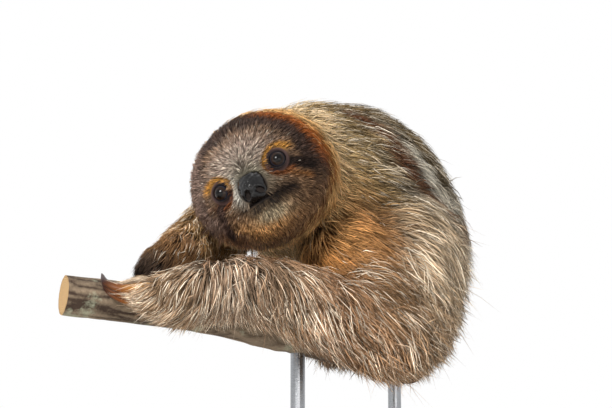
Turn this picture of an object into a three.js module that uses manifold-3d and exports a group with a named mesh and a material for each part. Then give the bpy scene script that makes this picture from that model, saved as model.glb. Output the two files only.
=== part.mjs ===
// A life-size, still model of a three-toed sloth lying along a short cut branch on a display stand.
// Millimetres, +Z up. The origin is the centre of the base's underside. The head end of the animal is
// towards -Y, its rump towards +Y, and its left side towards +X. The solids of flesh are the outline of
// the coat, out to the tips of the hair. Every body part is a closed tube of rings along a smooth line,
// and neighbours are parted by thin cuts or carved by each other with a small gap.
import * as THREE from "three";
import { mergeVertices } from "three/addons/utils/BufferGeometryUtils.js";
import Module from "manifold-3d";

const wasm = await Module();
wasm.setup();

// ---------- Driving dimensions ----------

const GAP = 0.35; // clearance between two neighbouring solids
const SIDES = 15; // points round a limb's section
const ROWS_PER_SPAN = 2; // rings from one station to the next
const TORSO_SIDES = 22;
const CAP_ROWS = 3; // rings in a rounded end

// The stand: a plate with rounded corners and two rods up to the branch.
const BASE = { wide: 250, long: 310, thick: 16, corner: 26, edge: 2.5, centreX: 0, centreY: 0 };
const ROD_RADIUS = 5;
const ROD_INTO_PERCH = 7; // how far a rod reaches into the bark, as a hidden dowel
const RODS = { front: 0.404, rear: 0.7075 }; // where each rod stands, as a share of the branch's line

// A station is one section of a body part: its middle, half width, half height and, on some, how far
// the hair hangs below it.
function station(x, y, z, wide, tall = wide, sag = 0) {
  return { at: new THREE.Vector3(x, y, z), wide, tall, sag };
}

const PERCH = [
  station(-197, -169, 243, 13.5),
  station(-165, -156, 241, 14),
  station(-112, -132, 239, 15.5),
  station(-58, -96, 231, 15),
  station(-9, -46, 226, 16),
  station(18, 12, 227, 17),
  station(31, 76, 233, 16.5),
  station(36, 140, 240, 16),
  station(38, 205, 247, 15),
];

const TORSO = [
  station(-64, -116, 331, 44, 46),
  station(-46, -84, 333, 53, 60),
  station(-22, -44, 332, 68, 72),
  station(-5, 0, 330, 76, 80),
  station(10, 50, 324, 74, 74),
  station(23, 100, 318, 70, 66),
  station(32, 150, 309, 58, 58),
  station(36, 182, 303, 45, 46),
];
const NECK_END = 2; // which station parts the neck from the trunk
const TORSO_EGG = 0.04; // how much narrower the back is than the belly

const TAIL = [station(37, 196, 300, 24), station(42, 222, 294, 17), station(46, 236, 290, 12)];

// A limb's stations run from the body to the hand or foot. joints tells which are its elbow and wrist,
// or its knee and ankle. A fold is a web of coat between the upper arm and the chest.
const LIMBS = [
  {
    names: ["upper_arm_left", "forearm_left", "hand_left"],
    joints: [2, 7],
    stations: [
      station(26, -20, 314, 42),
      station(27, -75, 280, 43, 43, 4),
      station(17, -113, 226, 34, 34, 5),
      station(-14, -130, 232, 30, 30, 4),
      station(-44, -145, 243, 26, 26, 3),
      station(-67, -157, 249, 23, 23, 1),
      station(-86, -165, 250, 21.5, 21.5, 1),
      station(-105, -171, 246, 21, 21, 2),
      station(-120, -174, 241, 20, 20, 4),
      station(-134, -178, 240, 15, 15, 3),
      station(-146, -181, 243, 11),
    ],
    fold: [station(-4, -78, 297, 28), station(-2, -100, 274, 31), station(4, -114, 248, 31)],
  },
  {
    names: ["upper_arm_right", "forearm_right", "hand_right"],
    joints: [2, 5],
    stations: [
      station(-52, -52, 346, 34),
      station(-80, -22, 340, 32),
      station(-104, 0, 320, 27),
      station(-112, -58, 303, 23),
      station(-122, -108, 284, 19),
      station(-130, -136, 273, 16),
      station(-137, -146, 267, 14),
      station(-143, -151, 263, 11),
      station(-147, -154, 260, 7),
    ],
  },
  {
    names: ["thigh_left", "shank_left", "foot_left"],
    joints: [2, 4],
    stations: [
      station(36, 118, 294, 44),
      station(39, 76, 277, 36),
      station(38, 34, 263, 30),
      station(42, 52, 253, 25),
      station(46, 76, 248, 19),
      station(49, 93, 246, 15.5),
      station(50, 107, 242, 11.5),
    ],
  },
  {
    names: ["thigh_right", "shank_right", "foot_right"],
    joints: [2, 4],
    stations: [
      station(6, 126, 290, 48),
      station(-12, 90, 272, 42),
      station(-22, 50, 262, 34),
      station(-12, 80, 253, 27),
      station(5, 112, 249, 19),
      station(15, 136, 249, 15.5),
      station(18, 151, 245, 11.5),
    ],
  },
];

// The head in its own frame: X to the animal's left, -Y out of the face, +Z to the crown.
const HEAD = {
  centre: new THREE.Vector3(-68.4, -132.6, 327.3),
  yaw: -12.5, // degrees, turned to the animal's right
  nod: 9.6, // looking down
  roll: 28, // tilted towards its right shoulder
  halfWidth: 52.5,
  halfHeight: 49,
  faceDepth: 42,
  napeDepth: 56,
  flatness: 2.6, // above 2, the face is flatter than an ellipsoid
};
// Each form of the face swells or sinks it along the way the face looks. x and z are its middle, across
// and up, and push is how far it swells.
const FACE_FORMS = [
  { name: "muzzle", x: 0, z: -12, spreadX: 15.5, spreadZ: 13, push: 15 },
  { name: "bridge", x: 0, z: 4, spreadX: 10, spreadZ: 12, push: 6 },
  { name: "chin", x: 0, z: -31, spreadX: 19, spreadZ: 9, push: 5 },
  { name: "left_cheek", x: 31, z: -20, spreadX: 13, spreadZ: 13, push: 4 },
  { name: "right_cheek", x: -31, z: -20, spreadX: 13, spreadZ: 13, push: 4 },
  { name: "left_socket", x: 23, z: 1, spreadX: 8, spreadZ: 7, push: -6 },
  { name: "right_socket", x: -23, z: 1, spreadX: 8, spreadZ: 7, push: -6 },
  { name: "brow", x: 0, z: 19, spreadX: 30, spreadZ: 9, push: 3 },
];
const EYE = { x: 21.2, y: -37, z: 0.8, radius: 6.4 };
const NOSE = { y: -54, z: -8, wide: 10.5, deep: 7, tall: 9.5 };

// gather is how much nearer each other three claws come at each of their points.
const CLAW = { base: 6, tall: 1.25, tip: 1, rows: 6, sides: 7, gather: 0.22 };

// ---------- Materials ----------

function finish(color, roughness, metalness = 0) {
  return new THREE.MeshStandardMaterial({ color, roughness, metalness });
}

const COAT = finish(0x9a7d60, 0.95);
const ARM_COAT = finish(0x8f7156, 0.95);
const FACE = finish(0x5a443a, 0.9);
const HORN = finish(0x8a5a30, 0.45);
const NOSE_SKIN = finish(0x1c1a19, 0.35);
const EYEBALL = finish(0x140d0a, 0.08);
const BARK = finish(0x6b5a48, 0.9);
const BASE_WOOD = finish(0x3a2a20, 0.5);
const STEEL = finish(0x9b9b9b, 0.35, 1);

// ---------- Tubes of rings ----------

// Closes a list of rings, each the same number of points, with a fan to a pole at each end.
function closedTube(rings, firstPole, lastPole) {
  const sides = rings[0].length;
  const points = [...rings.flat(), firstPole, lastPole];
  const faces = [];
  const first = points.length - 2;
  const last = points.length - 1;
  for (let j = 0; j < sides; j++) {
    const next = (j + 1) % sides;
    faces.push([first, next, j]);
    faces.push([last, (rings.length - 1) * sides + j, (rings.length - 1) * sides + next]);
    for (let i = 0; i + 1 < rings.length; i++) {
      const a = i * sides + j;
      const b = i * sides + next;
      faces.push([a, b, b + sides], [a, b + sides, a + sides]);
    }
  }
  return solidOfTriangles(points, faces);
}

// A closed solid of shared points and triangles, turned the right way out.
function solidOfTriangles(points, faces) {
  const vertProperties = new Float32Array(points.flatMap((p) => [p.x, p.y, p.z]));
  const build = (list) => {
    const triVerts = new Uint32Array(list.flat());
    return new wasm.Manifold(new wasm.Mesh({ numProp: 3, vertProperties, triVerts }));
  };
  const made = build(faces);
  return made.volume() > 0 ? made : build(faces.map(([a, b, c]) => [a, c, b]));
}

// The line, sizes and cross-section frame of a part at a share t of its stations.
function tubeFrames(stations, rows, level) {
  const line = new THREE.CatmullRomCurve3(stations.map((s) => s.at));
  const size = new THREE.CatmullRomCurve3(stations.map((s) => new THREE.Vector3(s.wide, s.tall, s.sag)));
  const frames = [];
  let up = new THREE.Vector3(0, 0, 1);
  for (let i = 0; i <= rows; i++) {
    const t = i / rows;
    const along = line.getTangent(t);
    const { x: wide, y: tall, z: sag } = size.getPoint(t);
    if (level) up = new THREE.Vector3(0, 0, 1);
    up = up.clone().addScaledVector(along, -up.dot(along)).normalize();
    const side = new THREE.Vector3().crossVectors(along, up);
    frames.push({ middle: line.getPoint(t), along, up, side, wide, tall, sag });
  }
  return frames;
}

// One ring of a tube: an ellipse, narrower on top by its egg share, whose underside hangs by its sag.
function ring(frame, scale, shift, { sides, grow, egg }) {
  const middle = frame.middle.clone().addScaledVector(frame.along, shift);
  const points = [];
  for (let j = 0; j < sides; j++) {
    const angle = (2 * Math.PI * j) / sides;
    const out = frame.side
      .clone()
      .multiplyScalar(Math.cos(angle) * (frame.wide * scale + grow) * (1 - egg * Math.sin(angle)))
      .addScaledVector(frame.up, Math.sin(angle) * (frame.tall * scale + grow));
    const downward = Math.max(0, -out.z / out.length());
    points.push(middle.clone().add(out).add(new THREE.Vector3(0, 0, -frame.sag * scale * downward)));
  }
  return points;
}

// A body part as a closed solid with rounded ends. grow swells it, to carve a neighbour with a gap.
function bodyPart(stations, { sides = SIDES, grow = 0, egg = 0, level = false, round = true } = {}) {
  const frames = tubeFrames(stations, ROWS_PER_SPAN * (stations.length - 1), level);
  const first = frames[0];
  const last = frames[frames.length - 1];
  const shape = { sides, grow, egg };
  const rings = frames.map((f) => ring(f, 1, 0, shape));
  if (!round) return closedTube(rings, first.middle, last.middle);
  for (let k = 1; k <= CAP_ROWS; k++) {
    const angle = (Math.PI / 2) * (k / (CAP_ROWS + 0.6));
    const bulge = Math.sin(angle);
    rings.unshift(ring(first, Math.cos(angle), -bulge * (first.wide + grow), shape));
    rings.push(ring(last, Math.cos(angle), bulge * (last.wide + grow), shape));
  }
  const pole = (f, way) => f.middle.clone().addScaledVector(f.along, way * (f.wide + grow));
  return closedTube(rings, pole(first, -1), pole(last, 1));
}

// Keeps what lies beyond a plane through a point, or before it, half a gap away.
const beyond = (solid, at, along) => solid.trimByPlane(along.toArray(), along.dot(at) + GAP / 2);
const before = (solid, at, along) => beyond(solid, at, along.clone().negate());

// Cuts a part in two across its line at one of its stations.
function partedAt(solid, stations, index) {
  const line = new THREE.CatmullRomCurve3(stations.map((s) => s.at));
  const along = line.getTangent(index / (stations.length - 1));
  return [before(solid, stations[index].at, along), beyond(solid, stations[index].at, along)];
}

// The three lengths of a limb, each from one joint to the next.
const lengthsOf = ({ stations, joints: [first, second] }) => [
  stations.slice(0, first + 1),
  stations.slice(first, second + 1),
  stations.slice(second),
];

// A limb as three solids that meet in mitred cuts at its joints.
function limbSolids(limb) {
  const lengths = lengthsOf(limb);
  const lines = lengths.map((stations) => new THREE.CatmullRomCurve3(stations.map((s) => s.at)));
  const solids = lengths.map((stations) => bodyPart(stations));
  for (const i of [0, 1]) {
    const mitre = lines[i].getTangent(1).add(lines[i + 1].getTangent(0)).normalize();
    const joint = lines[i].getPoint(1);
    solids[i] = before(solids[i], joint, mitre);
    solids[i + 1] = beyond(solids[i + 1], joint, mitre);
  }
  return solids;
}

// The triangles of a solid as a three.js geometry.
function geometryOf(solid) {
  const mesh = solid.getMesh();
  const points = new Float32Array(mesh.numVert * 3);
  for (let i = 0; i < mesh.numVert; i++) {
    points.set(mesh.vertProperties.subarray(i * mesh.numProp, i * mesh.numProp + 3), i * 3);
  }
  return new THREE.BufferGeometry()
    .setAttribute("position", new THREE.BufferAttribute(points, 3))
    .setIndex(new THREE.BufferAttribute(mesh.triVerts, 1));
}

// The biggest single body of a cut solid, without slivers that a cut may leave. It is weighed after
// points that meet are made one, so that bodies that only touch count apart.
function mainBody(solid) {
  const bodies = solidOfGeometry(geometryOf(solid)).decompose();
  return bodies.reduce((best, s) => (s.volume() > best.volume() ? s : best));
}

const carve = (solid, ...cutters) => cutters.reduce((left, cutter) => left.subtract(cutter), solid);

// A three.js geometry as a solid with shared vertices.
function solidOfGeometry(geometry) {
  geometry.deleteAttribute("normal");
  geometry.deleteAttribute("uv");
  const merged = mergeVertices(geometry, 1e-3);
  const place = merged.attributes.position;
  const pointAt = (_, i) => new THREE.Vector3().fromBufferAttribute(place, i);
  const points = Array.from({ length: place.count }, pointAt);
  const index = merged.index.array;
  const faceAt = (_, i) => [index[3 * i], index[3 * i + 1], index[3 * i + 2]];
  const faces = Array.from({ length: index.length / 3 }, faceAt);
  return solidOfTriangles(points, faces);
}

// ---------- Head ----------

const headTurn = new THREE.Matrix4()
  .makeTranslation(HEAD.centre)
  .multiply(new THREE.Matrix4().makeRotationZ(THREE.MathUtils.degToRad(HEAD.yaw)))
  .multiply(new THREE.Matrix4().makeRotationX(THREE.MathUtils.degToRad(HEAD.nod)))
  .multiply(new THREE.Matrix4().makeRotationY(THREE.MathUtils.degToRad(-HEAD.roll)));

const inHead = (x, y, z) => new THREE.Vector3(x, y, z).applyMatrix4(headTurn);

// How far the forms of the face push it out at a place across and up.
const facePush = (x, z) =>
  FACE_FORMS.reduce(
    (sum, f) => sum + f.push * Math.exp(-(((x - f.x) / f.spreadX) ** 2) - ((z - f.z) / f.spreadZ) ** 2),
    0,
  );

// A rounded head on a grid of rings round the way the face looks: a flattened ellipsoid in front and a
// rounder one behind, with the forms of the face added in front.
function headSolid(grow = 0, rows = 15, sides = 26) {
  const rings = [];
  for (let i = 1; i < rows; i++) {
    const polar = Math.PI * (i / rows) ** 1.12;
    const spread = Math.sin(polar);
    const front = Math.cos(polar) > 0;
    const depth = front
      ? -HEAD.faceDepth * (1 - spread ** HEAD.flatness) ** (1 / HEAD.flatness)
      : HEAD.napeDepth * -Math.cos(polar);
    const points = [];
    for (let j = 0; j < sides; j++) {
      const angle = (2 * Math.PI * j) / sides;
      const x = (HEAD.halfWidth + grow) * spread * Math.cos(angle);
      const z = (HEAD.halfHeight + grow) * spread * Math.sin(angle);
      const push = front ? facePush(x, z) * Math.min(1, 2 * Math.cos(polar)) + grow : -grow;
      points.push(inHead(x, depth - push, z));
    }
    rings.push(points);
  }
  const nose = inHead(0, -HEAD.faceDepth - facePush(0, 0) - grow, 0);
  return closedTube(rings, nose, inHead(0, HEAD.napeDepth + grow, 0));
}

// A ball or egg in the head's frame.
function headBall(x, y, z, wide, deep = wide, tall = wide, detail = [12, 8]) {
  const ball = new THREE.SphereGeometry(1, ...detail)
    .scale(wide, deep, tall)
    .translate(x, y, z)
    .applyMatrix4(headTurn);
  return solidOfGeometry(ball);
}

const eye = (side, grow = 0) => headBall(side * EYE.x, EYE.y, EYE.z, EYE.radius + grow);
const nose = (grow = 0) => headBall(0, NOSE.y, NOSE.z, NOSE.wide + grow, NOSE.deep + grow, NOSE.tall + grow);

// ---------- Claws ----------

// A claw is a tapered hook through four points. It is deeper than it is wide.
function claw(points, grow = 0) {
  const line = new THREE.CatmullRomCurve3(points.map((p) => new THREE.Vector3(...p)));
  const hookPlane = new THREE.Vector3()
    .subVectors(line.getPoint(1), line.getPoint(0))
    .cross(new THREE.Vector3().subVectors(line.getPoint(0.5), line.getPoint(0)))
    .normalize();
  const rings = [];
  for (let i = 0; i <= CLAW.rows; i++) {
    const t = i / CLAW.rows;
    const along = line.getTangent(t);
    const radius = THREE.MathUtils.lerp(CLAW.base, CLAW.tip, t ** 1.3) / 2 + grow;
    const depthways = new THREE.Vector3().crossVectors(hookPlane, along).normalize();
    const points = [];
    for (let j = 0; j < CLAW.sides; j++) {
      const angle = (2 * Math.PI * j) / CLAW.sides;
      points.push(
        line
          .getPoint(t)
          .addScaledVector(hookPlane, Math.cos(angle) * radius)
          .addScaledVector(depthways, Math.sin(angle) * radius * CLAW.tall),
      );
    }
    rings.push(points);
  }
  const past = (t, way) => line.getPoint(t).addScaledVector(line.getTangent(t), way * (CLAW.tip + grow));
  return closedTube(rings, past(0, -1), past(1, 1));
}

// Three claws side by side: the middle one's points, and the step from one claw to the next.
function clawRow(points, step) {
  const moved = (point, i, k) => point.map((c, axis) => c + k * step[axis] * (1 - CLAW.gather * i));
  return [-1, 0, 1].map((k) => points.map((point, i) => moved(point, i, k)));
}

const CLAWS = {
  left_hand: clawRow(
    [[-142, -181, 242], [-156, -185, 241], [-167, -183, 246], [-172, -171, 255]],
    [0.6, 4.6, -3.8],
  ),
  right_hand: clawRow(
    [[-135, -146, 266], [-139, -134, 262], [-141, -125, 252], [-140, -124, 240]],
    [6.2, 2.5, 0],
  ),
  left_foot: clawRow(
    [[50, 101, 243], [54, 110, 231], [46, 114, 220], [33, 114, 217]],
    [-1, 7, 1],
  ),
  right_foot: clawRow(
    [[18, 145, 248], [17, 153, 236], [25, 157, 225], [39, 157, 222]],
    [1, 7, 1],
  ),
};

// ---------- Stand ----------

function baseSolid() {
  const { wide, long, thick, corner, edge } = BASE;
  const outline = new THREE.Shape();
  const x = wide / 2 - edge;
  const y = long / 2 - edge;
  outline.moveTo(x, y - corner);
  outline.absarc(x - corner, y - corner, corner, 0, Math.PI / 2);
  outline.absarc(-x + corner, y - corner, corner, Math.PI / 2, Math.PI);
  outline.absarc(-x + corner, -y + corner, corner, Math.PI, 1.5 * Math.PI);
  outline.absarc(x - corner, -y + corner, corner, 1.5 * Math.PI, 2 * Math.PI);
  const plate = new THREE.ExtrudeGeometry(outline, {
    depth: thick - 2 * edge,
    bevelThickness: edge,
    bevelSize: edge,
    bevelSegments: 1,
    curveSegments: 5,
  }).translate(BASE.centreX, BASE.centreY, edge);
  return solidOfGeometry(plate);
}

function rodSolid(share, grow = 0) {
  const line = new THREE.CatmullRomCurve3(PERCH.map((s) => s.at));
  const top = line.getPoint(share);
  const low = BASE.thick - (grow ? GAP : 0) + GAP;
  const high = top.z - ROD_INTO_PERCH + grow;
  const rod = new THREE.CylinderGeometry(ROD_RADIUS + grow, ROD_RADIUS + grow, high - low, 20)
    .rotateX(Math.PI / 2)
    .translate(top.x, top.y, (high + low) / 2);
  return solidOfGeometry(rod);
}

// ---------- The whole specimen ----------

const specimen = new THREE.Group();

function addNode(name, solid, material) {
  const node = new THREE.Mesh(geometryOf(mainBody(solid)), material);
  node.name = name;
  specimen.add(node);
}

const PERCH_SHAPE = { sides: 12, round: false };
const TORSO_SHAPE = { sides: TORSO_SIDES, egg: TORSO_EGG, level: true };
const TAIL_SHAPE = { sides: 12 };
const whole = (stations, shape) => bodyPart(stations, shape);
const swollen = (stations, shape) => bodyPart(stations, { ...shape, grow: GAP });

const rodCutters = Object.values(RODS).map((share) => rodSolid(share, GAP));
const perchCutter = swollen(PERCH, PERCH_SHAPE);
addNode("stand_base", baseSolid(), BASE_WOOD);
for (const [place, share] of Object.entries(RODS)) {
  addNode("stand_rod_" + place, rodSolid(share), STEEL);
}
addNode("perch", carve(whole(PERCH, PERCH_SHAPE), ...rodCutters), BARK);

// The nose and eyes sit in the head, and the head carves what lies behind it.
addNode("nose", nose(), NOSE_SKIN);
addNode("eye_left", eye(1), EYEBALL);
addNode("eye_right", eye(-1), EYEBALL);
addNode("head", carve(headSolid(), nose(GAP), eye(1, GAP), eye(-1, GAP)), FACE);
const headCutter = headSolid(GAP);

const torso = carve(whole(TORSO, TORSO_SHAPE), headCutter, perchCutter);
const [neck, trunk] = partedAt(torso, TORSO, NECK_END);
addNode("neck", neck, COAT);
addNode("trunk", trunk, COAT);
const torsoCutter = swollen(TORSO, TORSO_SHAPE);
addNode("tail", carve(whole(TAIL, TAIL_SHAPE), torsoCutter), COAT);

const limbCutters = [];
for (const limb of LIMBS) {
  const [upper, middle, end] = limbSolids(limb);
  const cutters = lengthsOf(limb).map((stations) => swollen(stations, {}));
  const bodies = [headCutter, torsoCutter, perchCutter, ...limbCutters];
  const webbed = limb.fold ? upper.add(carve(whole(limb.fold, {}), cutters[1])) : upper;
  addNode(limb.names[0], carve(webbed, ...bodies), ARM_COAT);
  addNode(limb.names[1], carve(middle, ...bodies), ARM_COAT);
  addNode(limb.names[2], carve(end, ...bodies, cutters[0]), ARM_COAT);
  limbCutters.push(...cutters);
  if (limb.fold) limbCutters.push(swollen(limb.fold, {}));
}

// The claws start at the edge of the coat of the hands and feet.
const clawCutters = [];
for (const [limb, row] of Object.entries(CLAWS)) {
  row.forEach((points, i) => {
    const bodies = [perchCutter, ...limbCutters, ...clawCutters];
    addNode(limb + "_claw_" + (i + 1), carve(claw(points), ...bodies), HORN);
    clawCutters.push(claw(points, GAP));
  });
}

export default specimen;
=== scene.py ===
"""A life-size, still three-toed sloth that rests along a cut branch on a display stand.

One closed skin lies inside the coat's outline. Tufts of solid hair grow from it along the lie of the
coat. Eyes, nose, claws, branch and stand are pieces of their own. Sizes are in millimetres and become
metres when a mesh is made. The animal's head end is towards -Y, its left side towards +X, up is +Z.
"""

import logging
import math
from collections.abc import Callable, Sequence
from dataclasses import dataclass, field
from enum import Enum

import bpy
import numpy as np
from mathutils import Matrix, Vector


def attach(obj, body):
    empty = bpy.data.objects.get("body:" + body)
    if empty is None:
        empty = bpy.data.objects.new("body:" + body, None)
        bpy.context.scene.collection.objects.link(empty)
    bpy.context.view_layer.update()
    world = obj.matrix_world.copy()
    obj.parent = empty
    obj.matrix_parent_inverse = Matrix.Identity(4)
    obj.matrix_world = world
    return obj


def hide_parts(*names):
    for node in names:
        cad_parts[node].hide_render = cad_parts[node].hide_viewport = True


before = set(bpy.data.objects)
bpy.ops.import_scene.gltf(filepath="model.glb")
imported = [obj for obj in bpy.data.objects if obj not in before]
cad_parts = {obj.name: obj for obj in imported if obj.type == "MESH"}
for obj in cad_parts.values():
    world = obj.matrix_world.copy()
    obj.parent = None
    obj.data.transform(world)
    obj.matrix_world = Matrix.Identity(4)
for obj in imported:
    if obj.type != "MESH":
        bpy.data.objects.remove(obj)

Array = np.ndarray
Colour = tuple[float, float, float, float]
Place = tuple[float, float, float]
Socket = bpy.types.NodeSocket
Mesh = bpy.types.Mesh
Thing = bpy.types.Object
Material = bpy.types.Material
Chances = np.random.Generator

MM = 0.001
BODY = "root"
SEED = 20
UP = np.array([0.0, 0.0, 1.0])
log = logging.getLogger("sloth")


# ---------- Arithmetic on whole arrays ----------


def unit(v: Array) -> Array:
    """The vectors of an array, each divided by its length."""
    return v / np.maximum(np.linalg.norm(v, axis=-1, keepdims=True), 1e-9)


def dot(a: Array, b: Array) -> Array:
    """The products of two arrays of vectors, with the last axis kept."""
    return np.sum(a * b, axis=-1, keepdims=True)


def smooth(low: float, high: float, x: Array) -> Array:
    """0 below low, 1 above high, and 3t^2 - 2t^3 between, with t the share of the way."""
    t = np.clip((x - low) / (high - low), 0.0, 1.0)
    return t * t * (3.0 - 2.0 * t)


def hump(x: Array, middle: float, spread: float) -> Array:
    """A bell: e to the minus square of the distance from the middle over the spread."""
    return np.exp(-(((x - middle) / spread) ** 2))


def evenly(values: Sequence[float], t: Array) -> Array:
    """Values spread evenly over 0 to 1, read at t with straight lines between them."""
    return np.interp(t, np.linspace(0.0, 1.0, len(values)), values)


def circle(count: int) -> Array:
    """Angles in radians, spread evenly round a circle."""
    return np.linspace(0, 2 * np.pi, count, endpoint=False)


def ripple(points: Array, wavelength: float, seed: int) -> Array:
    """Soft noise between about -1 and 1: a mean of seven sine waves in random directions.

    Args:
        points: places in mm, one a row.
        wavelength: length of a wave in mm.
        seed: which noise.

    Returns:
        One number for each place.
    """
    rng = np.random.default_rng(seed)
    ways = unit(rng.normal(size=(7, 3))) * (2.0 * math.pi / wavelength) * rng.uniform(0.6, 1.6, (7, 1))
    return np.sin(points @ ways.T + rng.uniform(0.0, 6.3, 7)).mean(axis=1) * 1.9


def catmull(rows: Array, t: Array, slope: bool = False) -> Array:
    """A centripetal Catmull-Rom line through rows of numbers.

    Each span is the cubic whose end slopes come from its neighbours, with the square root of the
    distance between rows as its clock.

    Args:
        rows: the numbers it passes through, one row for each station.
        t: shares of the stations, 0 to 1.
        slope: gives the rate of change instead of the values.

    Returns:
        One row for each share.
    """
    ends = np.vstack([2 * rows[0] - rows[1], rows, 2 * rows[-1] - rows[-2]])
    clock = np.sqrt(np.linalg.norm(np.diff(ends, axis=0), axis=1))
    clock[clock < 1e-4] = 1.0
    x = np.clip(t, 0.0, 1.0) * (len(rows) - 1)
    i = np.minimum(x.astype(int), len(rows) - 2)
    w = (x - i)[:, None]
    a, b, c, d = (ends[i + k] for k in range(4))
    before, here, after = (clock[i + k][:, None] for k in range(3))
    start = ((b - a) / before - (c - a) / (before + here) + (c - b) / here) * here
    stop = ((c - b) / here - (d - b) / (here + after) + (d - c) / after) * here
    square = -3 * b + 3 * c - 2 * start - stop
    cube = 2 * b - 2 * c + start + stop
    if slope:
        return start + w * (2 * square + w * 3 * cube)
    return b + w * (start + w * (square + w * cube))


def linear(code: str) -> Array:
    """A colour written as six hex digits, in linear light."""
    s = np.array([int(code[k : k + 2], 16) for k in (0, 2, 4)]) / 255.0
    return np.where(s <= 0.04045, s / 12.92, ((s + 0.055) / 1.055) ** 2.4)


def rgba(code: str) -> Colour:
    """A colour for a shader's socket."""
    return (*linear(code).tolist(), 1.0)


# ---------- Meshes from arrays ----------


def tube_faces(rows: int, sides: int) -> Array:
    """Triangles of a closed tube: rings of points in order, then a first and a last pole.

    Args:
        rows: the number of rings.
        sides: the number of points round each.

    Returns:
        The triangles' corners.
    """
    j = np.arange(sides)
    after = (j + 1) % sides
    first, last = rows * sides, rows * sides + 1
    low = (np.arange(rows - 1) * sides)[:, None]
    a, b = (low + j).ravel(), (low + after).ravel()
    foot = (rows - 1) * sides
    return np.vstack(
        [
            np.stack([a, b, b + sides], 1),
            np.stack([a, b + sides, a + sides], 1),
            np.stack([np.full(sides, first), after, j], 1),
            np.stack([np.full(sides, last), foot + j, foot + after], 1),
        ]
    )


def outwards(points: Array, faces: Array) -> Array:
    """Triangles turned over, all together, where the volume that they close is negative."""
    a, b, c = (points[faces[:, k]] - points[0] for k in range(3))
    return faces[:, ::-1] if np.einsum("ij,ij->", a, np.cross(b, c)) < 0 else faces


def mesh_of(name: str, points: Array, faces: Array) -> Mesh:
    """A smooth mesh from places in mm and triangles, turned so that they face outwards.

    Args:
        name: the mesh's name.
        points: places in mm, one a row.
        faces: the numbers of each triangle's corners, if any.

    Returns:
        The mesh, in metres.
    """
    faces = outwards(points, faces)
    mesh = bpy.data.meshes.new(name)
    mesh.vertices.add(len(points))
    mesh.vertices.foreach_set("co", (points * MM).astype(np.float32).ravel())
    if len(faces):
        mesh.loops.add(faces.size)
        mesh.loops.foreach_set("vertex_index", faces.astype(np.int32).ravel())
        mesh.polygons.add(len(faces))
        mesh.polygons.foreach_set("loop_start", np.arange(0, faces.size, 3, dtype=np.int32))
    mesh.update(calc_edges=True)
    mesh.shade_smooth()
    return mesh


def link(data: bpy.types.ID) -> Thing:
    """An object for a mesh, a lamp or a camera, in the scene, at the origin.

    Args:
        data: what it shows.

    Returns:
        The object.
    """
    made = bpy.data.objects.new(data.name, data)
    bpy.context.scene.collection.objects.link(made)
    return made


def settled(made: Thing, name: str) -> Mesh:
    """An object's mesh with its modifiers applied. The object goes.

    Args:
        made: the object.
        name: the mesh's new name.

    Returns:
        The mesh.
    """
    bpy.context.view_layer.update()
    seen = made.evaluated_get(bpy.context.evaluated_depsgraph_get())
    mesh = bpy.data.meshes.new_from_object(seen)
    mesh.name = name
    bpy.data.objects.remove(made)
    return mesh


def places_of(mesh: Mesh, what: str = "co") -> Array:
    """The vertices' places in mm, or their normals.

    Args:
        mesh: the mesh to read.
        what: co for places, normal for normals.

    Returns:
        One row for each vertex.
    """
    flat = np.zeros(len(mesh.vertices) * 3, np.float32)
    mesh.vertices.foreach_get(what, flat)
    return flat.reshape(-1, 3).astype(float) * (1.0 / MM if what == "co" else 1.0)


def give_numbers(mesh: Mesh, **named: Array) -> None:
    """Attributes of the vertices: a colour where an array has three columns, else a number.

    Args:
        mesh: the mesh that gets them.
        **named: an array for each attribute, with a row for each vertex.
    """
    for name, values in named.items():
        if values.ndim == 2:
            kept = np.hstack([values, np.ones((len(values), 1))]).astype(np.float32)
            mesh.attributes.new(name, "FLOAT_COLOR", "POINT").data.foreach_set("color", kept.ravel())
        else:
            mesh.attributes.new(name, "FLOAT", "POINT").data.foreach_set("value", values.astype(np.float32))


class Slot(Enum):
    """Names of material slots, which no piece here uses."""

    BODY_COAT = "body_coat"
    LIMB_COAT = "limb_coat"
    FACE_COAT = "face_coat"
    NOSE_SKIN = "nose_skin"
    EYE = "eye"
    CLAW_HORN = "claw_horn"
    BARK = "bark"


def piece(
    mesh: Mesh, materials: Sequence[Material], nodes: Sequence[str] = ()
) -> Thing:
    """A finished piece of the model.

    Args:
        mesh: its shape, in place.
        materials: its finishes.
        nodes: the solids that it stands for.

    Returns:
        The object, which rides on the body.
    """
    for material in materials:
        mesh.materials.append(material)
    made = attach(link(mesh), BODY)
    if nodes:
        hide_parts(*nodes)
    log.info("%s: %d faces", mesh.name, len(mesh.polygons))
    return made


# ---------- Shader nodes ----------


class Blend(Enum):
    """How one colour goes over another."""

    MIX = "MIX"
    MULTIPLY = "MULTIPLY"


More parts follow.
